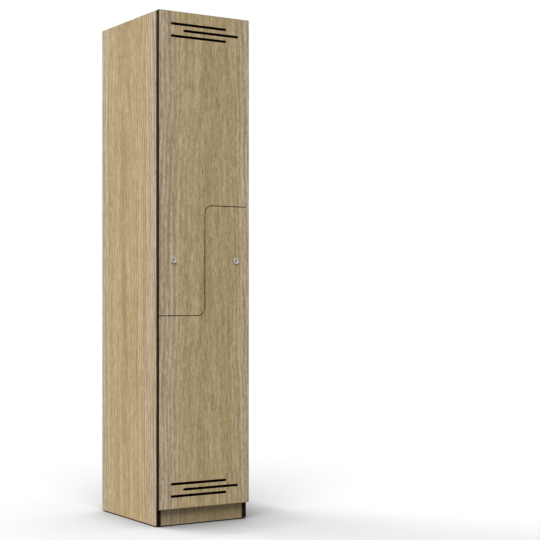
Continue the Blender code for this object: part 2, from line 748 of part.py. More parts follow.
def main():
    """Clears the scene and builds the locker."""
    for old in list(bpy.data.objects):
        bpy.data.objects.remove(old)
    collection("z_locker")
    collection("cutters")
    carcass = axis_empty("carcass", 0, 0)
    build_carcass(carcass)
    build_inner_boards(carcass)
    upper_heights = (UPPER_LINE + HINGE_FROM_LINE, HEIGHT - HINGE_FROM_END)
    lower_heights = (DOOR_BOTTOM + HINGE_FROM_END, LOWER_LINE - HINGE_FROM_LINE)
    upper_slots = slot_outlines(HEIGHT - SLOT_FIRST, -SLOT_PITCH)
    lower_slots = slot_outlines(DOOR_BOTTOM + SLOT_FIRST, SLOT_PITCH)
    build_door("upper", RIGHT, upper_outline, upper_slots, upper_heights, carcass)
    build_door("lower", LEFT, lower_outline, lower_slots, lower_heights, carcass)
    build_hook("upper_coat_hook", carcass, 0, TOP_UNDER - HOOK_FROM_TOP)
    build_hook("lower_coat_hook", carcass, HALF_INSIDE / 2, UPPER_LINE - BOARD / 2 - HOOK_FROM_TOP)


if __name__ == "__main__":
    main()
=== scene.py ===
"""Dresses the two-door Z locker over its fixed frame, and sets it in a plain pale studio.

The frame gives each solid's place. The classes here build the boards with eased arrises, the doors with
their black edging and vent slots, the cam locks, the concealed hinges with their screws, the hooks and the
strikes. Everything is in metres, +Z up, and the doors face -Y.
"""

from __future__ import annotations

import logging
import math
from collections.abc import Iterable, Sequence
from dataclasses import dataclass, field
from enum import Enum
from typing import NamedTuple

import bmesh
import bpy
from mathutils import Matrix, Vector

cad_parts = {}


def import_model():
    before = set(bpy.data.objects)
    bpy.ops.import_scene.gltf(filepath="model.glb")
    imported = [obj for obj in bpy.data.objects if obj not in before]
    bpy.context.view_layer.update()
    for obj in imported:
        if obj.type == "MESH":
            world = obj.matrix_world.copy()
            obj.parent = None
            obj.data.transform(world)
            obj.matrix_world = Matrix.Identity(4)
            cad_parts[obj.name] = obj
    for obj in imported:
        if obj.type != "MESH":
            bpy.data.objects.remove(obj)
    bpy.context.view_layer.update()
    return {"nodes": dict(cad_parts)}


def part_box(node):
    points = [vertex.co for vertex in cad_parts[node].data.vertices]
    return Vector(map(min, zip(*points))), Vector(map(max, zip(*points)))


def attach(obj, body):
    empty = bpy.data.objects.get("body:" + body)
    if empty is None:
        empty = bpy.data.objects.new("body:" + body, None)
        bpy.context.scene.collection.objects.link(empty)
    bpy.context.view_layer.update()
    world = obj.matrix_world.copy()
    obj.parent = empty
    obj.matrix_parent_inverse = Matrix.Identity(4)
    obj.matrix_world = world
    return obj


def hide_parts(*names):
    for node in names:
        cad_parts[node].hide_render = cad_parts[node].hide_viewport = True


LOG = logging.getLogger("z_locker")

Colour = tuple[float, float, float, float]
Triple = tuple[float, float, float]
Pair = tuple[float, float]
Socket = bpy.types.NodeSocket
Value = Socket | float | Triple | Colour

WHITE: Colour = (1.0, 1.0, 1.0, 1.0)
WHOLE: Pair = (0.0, 1.0)
HALF = 0.5
UP: Triple = (0.0, 0.0, 1.0)
DOWN: Triple = (0.0, 0.0, -1.0)
FORWARD: Triple = (0.0, -1.0, 0.0)
BACKWARD: Triple = (0.0, 1.0, 0.0)
QUARTER_TURN = math.radians(90)
CARCASS = "carcass"


def shade(red: int, green: int, blue: int) -> Colour:
    """Turns an 8-bit colour into the linear one that a shader takes.

    Args:
        red: Red, 0 to 255.
        green: Green, 0 to 255.
        blue: Blue, 0 to 255.

    Returns:
        The linear colour, opaque.
    """
    toe_end, toe_slope, lift, power = 0.04045, 12.92, 0.055, 2.4
    linear = []
    for part in (red, green, blue):
        share = part / 255
        linear.append(share / toe_slope if share <= toe_end else ((share + lift) / (1 + lift)) ** power)
    return (linear[0], linear[1], linear[2], 1.0)


class Side(Enum):
    """A side of the locker, as seen from the front."""

    LEFT = -1
    RIGHT = 1


class Leaf(Enum):
    """One of the two doors."""

    UPPER = "upper"
    LOWER = "lower"

    @property
    def hung(self) -> Side:
        """The side that its hinges are on."""
        return Side.RIGHT if self is Leaf.UPPER else Side.LEFT

    @property
    def free(self) -> Side:
        """The side that its lock is on."""
        return Side.LEFT if self is Leaf.UPPER else Side.RIGHT

    @property
    def other(self) -> Leaf:
        """The other door."""
        return Leaf.LOWER if self is Leaf.UPPER else Leaf.UPPER

    @property
    def body(self) -> str:
        """The body that it moves."""
        return f"{self.value}_door"


class Axis(Enum):
    """The way a grain or a brushing runs, with the turn that lays it along Z."""

    X = (0.0, QUARTER_TURN, 0.0)
    Y = (QUARTER_TURN, 0.0, 0.0)
    Z = (0.0, 0.0, 0.0)


class NodeDesk:
    """Places and joins the nodes of one tree.

    The Mix node has its own sockets for each type of value, and these are the ones for colours.
    """

    MIX_INPUTS = (0, 6, 7)
    MIX_RESULT = 2

    def __init__(self, tree: bpy.types.NodeTree) -> None:
        """Takes the tree to work in."""
        self.tree = tree

    def add(self, kind: str, **settings: object) -> bpy.types.Node:
        """Adds a node.

        Args:
            kind: The node's type name.
            **settings: Its properties.

        Returns:
            The node.
        """
        node = self.tree.nodes.new(kind)
        for name, value in settings.items():
            setattr(node, name, value)
        return node

    def find(self, kind: str) -> bpy.types.Node:
        """Finds the first node of a kind in the tree."""
        return next(node for node in self.tree.nodes if node.type == kind)

    def feed(self, socket: Socket, value: Value) -> None:
        """Links another socket into this one, or sets it to a plain value.

        Args:
            socket: The input.
            value: The other socket or the value.
        """
        if isinstance(value, Socket):
            self.tree.links.new(value, socket)
        else:
            socket.default_value = value

    def fill(self, node: bpy.types.Node, **values: Value) -> None:
        """Feeds a node's inputs by their names, with underscores for spaces."""
        for name, value in values.items():
            self.feed(node.inputs[name.replace("_", " ")], value)

    def operate(self, kind: str, operation: str, values: Iterable[Value]) -> Socket:
        """Adds a node that works out one sum.

        Args:
            kind: The node's type name.
            operation: What the node does.
            values: Its inputs, in order.

        Returns:
            The result.
        """
        node = self.add(kind, operation=operation)
        for socket, value in zip(node.inputs, values):
            self.feed(socket, value)
        return node.outputs[0]

    def math(self, operation: str, *values: Value) -> Socket:
        """Does one sum of numbers."""
        return self.operate("ShaderNodeMath", operation, values)

    def vector(self, operation: str, *values: Value) -> Socket:
        """Does one sum of vectors."""
        return self.operate("ShaderNodeVectorMath", operation, values)

    def plus(self, first: Value, second: Value) -> Socket:
        """Adds two numbers."""
        return self.math("ADD", first, second)

    def minus(self, first: Value, second: Value) -> Socket:
        """Takes the second number from the first."""
        return self.math("SUBTRACT", first, second)

    def times(self, first: Value, second: Value) -> Socket:
        """Multiplies two numbers."""
        return self.math("MULTIPLY", first, second)

    def centred(self, value: Value) -> Socket:
        """Shifts a value that lies about one half, so that it lies about nought."""
        return self.minus(value, HALF)

    def scale(self, vector: Value, factor: Value) -> Socket:
        """Multiplies a vector by a number.

        Args:
            vector: The vector, or a colour.
            factor: The number.

        Returns:
            The product.
        """
        scaled = self.vector("SCALE", vector)
        self.feed(scaled.node.inputs["Scale"], factor)
        return scaled

    def noise(self, place: Value, stretch: Triple, detail: float = 1.0, rough: float = 0.5) -> Socket:
        """Adds a noise, stretched by its frequencies along the three axes.

        Args:
            place: The coordinates.
            stretch: Features per metre along X, Y and Z.
            detail: The noise's detail.
            rough: The noise's roughness.

        Returns:
            The noise's value.
        """
        node = self.add("ShaderNodeTexNoise")
        stretched = self.vector("MULTIPLY", place, stretch)
        self.fill(node, Vector=stretched, Scale=1.0, Detail=detail, Roughness=rough)
        return node.outputs["Fac"]

    def remap(self, value: Value, source: Pair = WHOLE, target: Pair = WHOLE) -> Socket:
        """Maps one range onto another, clamped.

        Args:
            value: The value to map.
            source: The range it comes in.
            target: The range it goes to.

        Returns:
            The mapped value.
        """
        node = self.add("ShaderNodeMapRange")
        for socket, number in zip(node.inputs, (value, *source, *target)):
            self.feed(socket, number)
        return node.outputs[0]

    def blend(self, share: Value, first: Value, second: Value, mode: str = "MIX") -> Socket:
        """Blends two colours.

        Args:
            share: How much of the second.
            first: The first colour.
            second: The second colour.
            mode: The Mix node's blend type.

        Returns:
            The blended colour.
        """
        node = self.add("ShaderNodeMix", data_type="RGBA", blend_type=mode)
        for index, value in zip(self.MIX_INPUTS, (share, first, second)):
            self.feed(node.inputs[index], value)
        return node.outputs[self.MIX_RESULT]

    def bump(self, height: Socket, strength: float, depth: float) -> Socket:
        """Turns a height into a normal.

        Args:
            height: The height, 0 to 1.
            strength: How strongly it shows.
            depth: What a height of 1 is, in metres.

        Returns:
            The normal.
        """
        node = self.add("ShaderNodeBump")
        self.fill(node, Strength=strength, Distance=depth, Height=height)
        return node.outputs["Normal"]

    def place(self, run: Axis = Axis.Z, offset: Triple = (0.0, 0.0, 0.0), squeeze: float = 1.0) -> Socket:
        """Gives the piece's own coordinates, turned so that the grain runs along Z.

        Args:
            run: The way the grain runs.
            offset: Where in the pattern the piece is cut.
            squeeze: How much shorter the figure is along the grain.

        Returns:
            The coordinates.
        """
        coordinates = self.add("ShaderNodeTexCoord")
        mapping = self.add("ShaderNodeMapping")
        scales = tuple(squeeze if axis is run else 1.0 for axis in Axis)
        self.fill(
            mapping, Vector=coordinates.outputs["Object"], Location=offset, Rotation=run.value, Scale=scales
        )
        return mapping.outputs["Vector"]


class SharedGroup:
    """A shader node group with named sockets."""

    def __init__(self, name: str) -> None:
        """Makes the empty group.

        Args:
            name: Its name.
        """
        self.tree = bpy.data.node_groups.new(name, "ShaderNodeTree")
        self.desk = NodeDesk(self.tree)
        self.inside = self.desk.add("NodeGroupInput")
        self.out = self.desk.add("NodeGroupOutput")

    def take(self, name: str, kind: str, default: float | None = None) -> Socket:
        """Adds an input.

        Args:
            name: Its name.
            kind: Float, Color or Vector.
            default: Its value where nothing is given.

        Returns:
            The socket inside the group.
        """
        socket = self.tree.interface.new_socket(name, in_out="INPUT", socket_type=f"NodeSocket{kind}")
        if default is not None:
            socket.default_value = default
        return self.inside.outputs[name]

    def give(self, name: str, kind: str, value: Socket) -> None:
        """Adds an output and links it."""
        self.tree.interface.new_socket(name, in_out="OUTPUT", socket_type=f"NodeSocket{kind}")
        self.tree.links.new(value, self.out.inputs[name])

    def use(self, desk: NodeDesk, **values: Value) -> bpy.types.Node:
        """Places the group in a material.

        Args:
            desk: The material's desk.
            **values: Its inputs.

        Returns:
            The group's node.
        """
        node = desk.add("ShaderNodeGroup", node_tree=self.tree)
        desk.fill(node, **values)
        return node


class Growth(NamedTuple):
    """What the tree's growth gives at a place on the board."""

    ring: Socket
    heart: Socket
    rim: Socket
    across: Socket


@dataclass(frozen=True)
class OakFigure:
    """The layers of the printed oak.

    Each layer has its frequencies in features per metre, two across the grain and one along it, and a share
    that says how strongly it shows. A span is the stretch of a value over which something comes in.
    """

    wander: Triple = (3.0, 3.0, 1.3)
    wander_reach: float = 0.022
    heart_depth: float = 0.050
    heart_slope: float = 0.030
    heart_half: float = 0.065
    heart_shade: float = 0.10
    rim_span: Pair = (0.09, 0.16)
    ring_pitch: float = 0.0155
    ring_warp: Triple = (16.0, 16.0, 2.2)
    ring_warp_reach: float = 0.030
    ring_share: float = 0.13
    ring_rim_share: float = 0.26
    band: Triple = (52.0, 52.0, 1.1)
    band_share: float = 0.72
    streak: Triple = (125.0, 125.0, 10.0)
    streak_share: float = 0.50
    line: Triple = (230.0, 230.0, 22.0)
    line_share: float = 1.00
    long_line: Triple = (190.0, 190.0, 3.4)
    long_line_share: float = 0.85
    dash: Triple = (420.0, 420.0, 50.0)
    dash_share: float = 0.95
    dash_height: float = 0.5
    pore: Triple = (1150.0, 1150.0, 70.0)
    pore_span: Pair = (0.56, 0.68)
    pore_share: float = 0.42
    dash_span: Pair = (0.35, 0.65)
    pore_dash_shares: Pair = (1.0, 0.25)
    tint: Triple = (13.0, 13.0, 1.1)
    tint_span: Pair = (0.35, 0.65)
    tint_shares: Pair = (0.15, 0.40)
    grey_ramp: float = 0.030
    grey_share: float = 0.85
    roughness: Pair = (0.80, 0.70)

    def build(self) -> SharedGroup:
        """Makes the group: bands, lines and dashes along the grain, arched growth lines, and pores.

        Returns:
            The group, giving Color, Roughness and Height.
        """
        group = SharedGroup("oak_figure")
        desk = group.desk
        place = group.take("Vector", "Vector")
        pale, mid, dark, grey = (group.take(name, "Color") for name in ("Pale", "Mid", "Dark", "Grey"))
        contrast = group.take("Contrast", "Float", 1.0)
        middle = group.take("Middle", "Float", 0.0)
        grey_from = group.take("Rim", "Float", 0.125)

        bent = self.bend(desk, place)
        growth = self.grow(desk, bent)
        dash = desk.noise(bent, self.dash)
        level = desk.plus(desk.times(self.layers(desk, bent, growth, dash), contrast), HALF)
        colour = desk.blend(desk.remap(level, (0.0, HALF)), dark, mid)
        colour = desk.blend(desk.remap(level, (HALF, 1.0)), colour, pale)
        cast = self.grey_cast(desk, place, growth, middle, grey_from)
        colour = desk.blend(cast, colour, grey, "MULTIPLY")
        pore = desk.remap(desk.noise(bent, self.pore), self.pore_span)
        pore = desk.times(pore, desk.remap(dash, self.dash_span, self.pore_dash_shares))
        colour = desk.blend(desk.times(pore, self.pore_share), colour, dark, "MULTIPLY")

        group.give("Color", "Color", colour)
        group.give("Roughness", "Float", desk.remap(level, WHOLE, self.roughness))
        group.give("Height", "Float", desk.minus(desk.times(dash, self.dash_height), pore))
        return group

    def bend(self, desk: NodeDesk, place: Socket) -> Socket:
        """Lets the grain wander to the side as it runs.

        Args:
            desk: The group's desk.
            place: The coordinates, the grain along Z.

        Returns:
            The bent coordinates.
        """
        drift = desk.times(desk.centred(desk.noise(place, self.wander)), self.wander_reach)
        shift = desk.add("ShaderNodeCombineXYZ")
        desk.fill(shift, X=drift, Y=drift)
        return desk.vector("ADD", place, shift.outputs[0])

    def grow(self, desk: NodeDesk, place: Socket) -> Growth:
        """Cuts a tilted tree's growth rings with the board, which arches them round the heart.

        Args:
            desk: The group's desk.
            place: The coordinates, the heart where X plus Y is nought.

        Returns:
            The growth lines, masks of the heart and of the board's outer parts, and the place across it.
        """
        parts = desk.add("ShaderNodeSeparateXYZ")
        desk.feed(parts.inputs[0], place)
        across = desk.plus(parts.outputs[0], parts.outputs[1])
        warp = desk.times(desk.centred(desk.noise(place, self.ring_warp)), self.ring_warp_reach)
        below = desk.plus(desk.times(parts.outputs[2], self.heart_slope), self.heart_depth)
        square = desk.plus(desk.times(across, across), desk.times(below, below))
        radius = desk.plus(desk.math("SQRT", square), warp)
        wave = desk.math("SINE", desk.times(radius, math.tau / self.ring_pitch))
        away = desk.math("ABSOLUTE", across)
        return Growth(
            ring=desk.remap(wave, (-1.0, 1.0)),
            heart=desk.remap(away, (0.0, self.heart_half), (1.0, 0.0)),
            rim=desk.remap(away, self.rim_span),
            across=across,
        )

    def layers(self, desk: NodeDesk, place: Socket, growth: Growth, dash: Socket) -> Socket:
        """Adds up how far every layer lightens or darkens the board.

        Args:
            desk: The group's desk.
            place: The bent coordinates.
            growth: What the tree's growth gives there.
            dash: The noise of the dashes.

        Returns:
            The sum, which lies about nought.
        """
        drawn = desk.plus(desk.times(growth.rim, self.ring_rim_share), self.ring_share)
        level = desk.times(desk.centred(growth.ring), drawn)
        for layer, share in (
            (desk.noise(place, self.band), self.band_share),
            (desk.noise(place, self.streak), self.streak_share),
            (desk.noise(place, self.line), self.line_share),
            (desk.noise(place, self.long_line), desk.times(growth.rim, self.long_line_share)),
            (dash, self.dash_share),
        ):
            level = desk.plus(level, desk.times(desk.centred(layer), share))
        return desk.minus(level, desk.times(growth.heart, self.heart_shade))

    def grey_cast(
        self, desk: NodeDesk, place: Socket, growth: Growth, middle: Socket, start: Socket
    ) -> Socket:
        """Works out how grey the print is: in patches, and most along the board's edges.

        Args:
            desk: The group's desk.
            place: The coordinates.
            growth: What the tree's growth gives there.
            middle: The place across the board that the edges lie about.
            start: How far from there the grey starts.

        Returns:
            The share of grey.
        """
        patches = desk.remap(desk.noise(place, self.tint), self.tint_span)
        patches = desk.times(patches, desk.remap(growth.rim, WHOLE, self.tint_shares))
        aside = desk.math("ABSOLUTE", desk.minus(growth.across, middle))
        edge = desk.remap(desk.minus(aside, start), (0.0, self.grey_ramp), (0.0, self.grey_share))
        return desk.plus(patches, edge)


@dataclass(frozen=True)
class Mottle:
    """The fine unevenness of moulded plastic: a grain, and clouds in features per metre."""

    cloud: Triple = (28.0, 28.0, 28.0)
    cloud_detail: float = 2.0
    grain_detail: float = 3.0
    grain_roughness: float = 0.6
    roughness_swing: float = 2.0

    def build(self) -> SharedGroup:
        """Makes the group.

        Returns:
            The group, giving Value around 1, Roughness around its input, and Height.
        """
        group = SharedGroup("fine_mottle")
        desk = group.desk
        place = group.take("Vector", "Vector")
        fine = group.take("Fine", "Float", 900.0)
        roughness = group.take("Roughness", "Float", 0.4)
        spread = group.take("Spread", "Float", 0.1)
        scaled = desk.scale(place, fine)
        grain = desk.noise(scaled, (1.0, 1.0, 1.0), self.grain_detail, self.grain_roughness)
        both = desk.times(desk.plus(grain, desk.noise(place, self.cloud, self.cloud_detail)), HALF)
        offset = desk.times(desk.centred(both), spread)
        group.give("Value", "Float", desk.plus(1.0, offset))
        group.give("Roughness", "Float", desk.plus(roughness, desk.times(offset, self.roughness_swing)))
        group.give("Height", "Float", grain)
        return group


@dataclass(frozen=True)
class Brushing:
    """Fine parallel scratches along Z, as rolling and brushing leave on metal, in features per metre."""

    lines: Triple = (2600.0, 2600.0, 60.0)
    smear: Triple = (60.0, 60.0, 25.0)
    detail: float = 2.0
    line_roughness: float = 0.6
    uneven_from: Pair = (0.6, 1.4)
    uneven_to: Pair = (-0.09, 0.09)

    def build(self) -> SharedGroup:
        """Makes the group.

        Returns:
            The group, giving Roughness and Height.
        """
        group = SharedGroup("brushing")
        desk = group.desk
        place = group.take("Vector", "Vector")
        roughness = group.take("Roughness", "Float", 0.3)
        lines = desk.noise(place, self.lines, self.detail, self.line_roughness)
        smear = desk.noise(place, self.smear, self.detail)
        uneven = desk.remap(desk.plus(lines, smear), self.uneven_from, self.uneven_to)
        group.give("Roughness", "Float", desk.plus(roughness, uneven))
        group.give("Height", "Float", lines)
        return group


class GroupShelf:
    """The shared node groups, each built once."""

    def __init__(self) -> None:
        """Builds the three groups."""
        self.figure = OakFigure().build()
        self.mottle = Mottle().build()
        self.brushing = Brushing().build()


def open_material(name: str) -> tuple[bpy.types.Material, NodeDesk, bpy.types.Node]:
    """Makes an empty material.

    Args:
        name: Its name.

    Returns:
        The material, its desk and its Principled BSDF.
    """
    made = bpy.data.materials.new(name)
    made.use_nodes = True
    return made, NodeDesk(made.node_tree), made.node_tree.nodes["Principled BSDF"]


@dataclass(frozen=True)
class OakLaminate:
    """Matt laminate with a printed, lightly embossed oak decor."""

    name: str = "oak_upright"
    slot: str = "oak_laminate"
    run: Axis = Axis.Z
    offset: Triple = (0.0, 0.0, 0.0)
    pale: Colour = shade(204, 184, 147)
    mid: Colour = shade(175, 155, 116)
    dark: Colour = shade(140, 121, 86)
    grey: Colour = (1.01, 1.04, 1.18, 1.0)
    grey_middle: float = 0.0
    grey_from: float = 0.140
    squeeze: float = 1.0
    contrast: float = 0.92
    gloss: float = 0.10
    emboss: float = 0.35
    emboss_depth: float = 0.00012

    def build(self, shelf: GroupShelf) -> bpy.types.Material:
        """Builds the material.

        Args:
            shelf: The shared groups.

        Returns:
            The material.
        """
        made, desk, shader = open_material(self.name)
        figure = shelf.figure.use(
            desk,
            Vector=desk.place(self.run, self.offset, self.squeeze),
            Pale=self.pale,
            Mid=self.mid,
            Dark=self.dark,
            Grey=self.grey,
            Contrast=self.contrast,
            Middle=self.grey_middle,
            Rim=self.grey_from,
        )
        desk.fill(
            shader,
            Base_Color=figure.outputs["Color"],
            Roughness=figure.outputs["Roughness"],
            Specular_IOR_Level=self.gloss,
            Normal=desk.bump(figure.outputs["Height"], self.emboss, self.emboss_depth),
        )
        return made


@dataclass(frozen=True)
class Plastic:
    """Moulded or extruded plastic with a fine satin skin."""

    name: str
    slot: str
    colour: Colour
    roughness: float = 0.42
    fine: float = 2500.0
    relief: float = 0.25
    gloss: float = 0.5
    relief_depth: float = 0.00006
    spread: float = 0.12
    swing: float = 0.15

    def tone(self, factor: float) -> Colour:
        """The colour, lightened or darkened."""
        red, green, blue = (min(1.0, part * factor) for part in self.colour[:3])
        return (red, green, blue, 1.0)

    def build(self, shelf: GroupShelf) -> bpy.types.Material:
        """Builds the material.

        Args:
            shelf: The shared groups.

        Returns:
            The material.
        """
        made, desk, shader = open_material(self.name)
        mottle = shelf.mottle.use(
            desk, Vector=desk.place(), Fine=self.fine, Roughness=self.roughness, Spread=self.spread
        )
        share = desk.remap(mottle.outputs["Value"], (1 - self.spread / 2, 1 + self.spread / 2))
        desk.fill(
            shader,
            Base_Color=desk.blend(share, self.tone(1 - self.swing), self.tone(1 + self.swing)),
            Roughness=mottle.outputs["Roughness"],
            Specular_IOR_Level=self.gloss,
            Normal=desk.bump(mottle.outputs["Height"], self.relief, self.relief_depth),
        )
        return made


@dataclass(frozen=True)
class Metal:
    """Plated or brushed metal."""

    name: str
    slot: str
    colour: Colour
    roughness: float = 0.3
    run: Axis = Axis.Z
    scratch: float = 0.12
    scratch_depth: float = 0.00003

    def build(self, shelf: GroupShelf) -> bpy.types.Material:
        """Builds the material.

        Args:
            shelf: The shared groups.

        Returns:
            The material.
        """
        made, desk, shader = open_material(self.name)
        brushing = shelf.brushing.use(desk, Vector=desk.place(self.run), Roughness=self.roughness)
        desk.fill(
            shader,
            Base_Color=self.colour,
            Metallic=1.0,
            Roughness=brushing.outputs["Roughness"],
            Normal=desk.bump(brushing.outputs["Height"], self.scratch, self.scratch_depth),
        )
        return made


STRONG_GREY: Colour = (1.01, 1.04, 1.28, 1.0)
OAK_UPRIGHT = OakLaminate(offset=(0.0, -0.215, 0.0))
OAK_DOOR = OakLaminate(
    name="oak_door", offset=(0.0, 0.215, 0.0), grey=STRONG_GREY, grey_from=0.125, squeeze=1.4
)
OAK_LEFT_SIDE = OakLaminate(
    name="oak_left_side",
    offset=(0.19, -0.046, 0.45),
    pale=shade(208, 188, 151),
    mid=shade(178, 156, 114),
    dark=shade(142, 124, 91),
    grey=STRONG_GREY,
    grey_middle=-0.0275,
    grey_from=0.138,
)
OAK_RIGHT_SIDE = OakLaminate(
    name="oak_right_side",
    offset=(-0.19, 0.03, 1.15),
    mid=shade(178, 157, 117),
    grey_middle=0.040,
    grey_from=0.150,
)
OAK_ACROSS = OakLaminate(name="oak_across", run=Axis.X, offset=(0.0, 0.02, 0.30))
# The kick plate and rear rail take this darkened copy of the oak laminate: painted shade under the doors'
# overhang.
OAK_KICK_PAINTED_SHADE = OakLaminate(
    name="oak_kick_painted_shade",
    offset=(-0.06, 0.20, 1.7),
    pale=shade(180, 162, 130),
    mid=shade(155, 137, 103),
    dark=shade(124, 107, 77),
    contrast=0.62,
)
BLACK_EDGING = Plastic("black_edging_satin", "black_edging", shade(33, 24, 18), 0.55, gloss=0.015)
# Near-black walls inside the door's slots, lock hole and hinge bores: a black sealed core, darkened further
# as painted shade inside them.
BLACK_CORE_AND_PAINTED_SHADE = Plastic("sealed_core_and_painted_shade", "black_edging", shade(12, 11, 10), 0.80, 1400.0, 0.6, gloss=0.05)
BLACK_PLASTIC = Plastic("black_moulded", "black_plastic", shade(24, 24, 25), 0.5, gloss=0.3)
CLEAR_GREY = Plastic("grey_bumper", "black_plastic", shade(120, 120, 118), 0.35)
NICKEL = Metal("satin_nickel", "nickel", shade(176, 173, 168), 0.26, Axis.X)
LOCK_FACE = Metal("lock_face_satin", "nickel", shade(182, 179, 174), 0.46)
# The plug's darker metal is painted shade round the keyhole.
PLUG_PAINTED_SHADE = Metal("lock_plug_painted_shade", "nickel", shade(152, 149, 145), 0.46)
STEEL = Metal("zinc_steel", "steel", shade(186, 188, 192), 0.30, Axis.Y)
SCREW_STEEL = Metal("screw_steel", "steel", shade(172, 173, 176), 0.36, Axis.Z, 0.06)

Finish = OakLaminate | Plastic | Metal


class Box(NamedTuple):
    """The box of a frame node."""

    low: Vector
    high: Vector

    @property
    def middle(self) -> Vector:
        """Its middle."""
        return (self.low + self.high) / 2

    @property
    def size(self) -> Vector:
        """Its lengths along X, Y and Z."""
        return self.high - self.low

    def face_x(self, way: int) -> float:
        """Where its left or its right face lies, for a way of -1 or 1."""
        return self.high.x if way > 0 else self.low.x


def box_of(node: str) -> Box:
    """Reads the box of a frame node."""
    low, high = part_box(node)
    return Box(Vector(low), Vector(high))


def facing(point: Sequence[float], direction: Sequence[float]) -> Matrix:
    """A placement that points a shape's own +Z in a direction.

    Args:
        point: Where the shape's origin goes.
        direction: Where its +Z points.

    Returns:
        The placement.
    """
    turn = Vector(UP).rotation_difference(Vector(direction))
    return Matrix.Translation(Vector(point)) @ turn.to_matrix().to_4x4()


def standing(point: Sequence[float]) -> Matrix:
    """A placement that stands a flat shape up, its +Y up and its +Z forward."""
    return Matrix.Translation(Vector(point)) @ Matrix.Rotation(QUARTER_TURN, 4, "X")


def scaled_profile(shares: Iterable[Pair], radius: float, height: float) -> list[Pair]:
    """Writes a profile that is given in shares of a radius and of a height."""
    return [(radius * across, height * up) for across, up in shares]


def only(geometry: Iterable[object], kind: type) -> list:
    """Picks the items of one kind out of what an operator made."""
    return [item for item in geometry if isinstance(item, kind)]


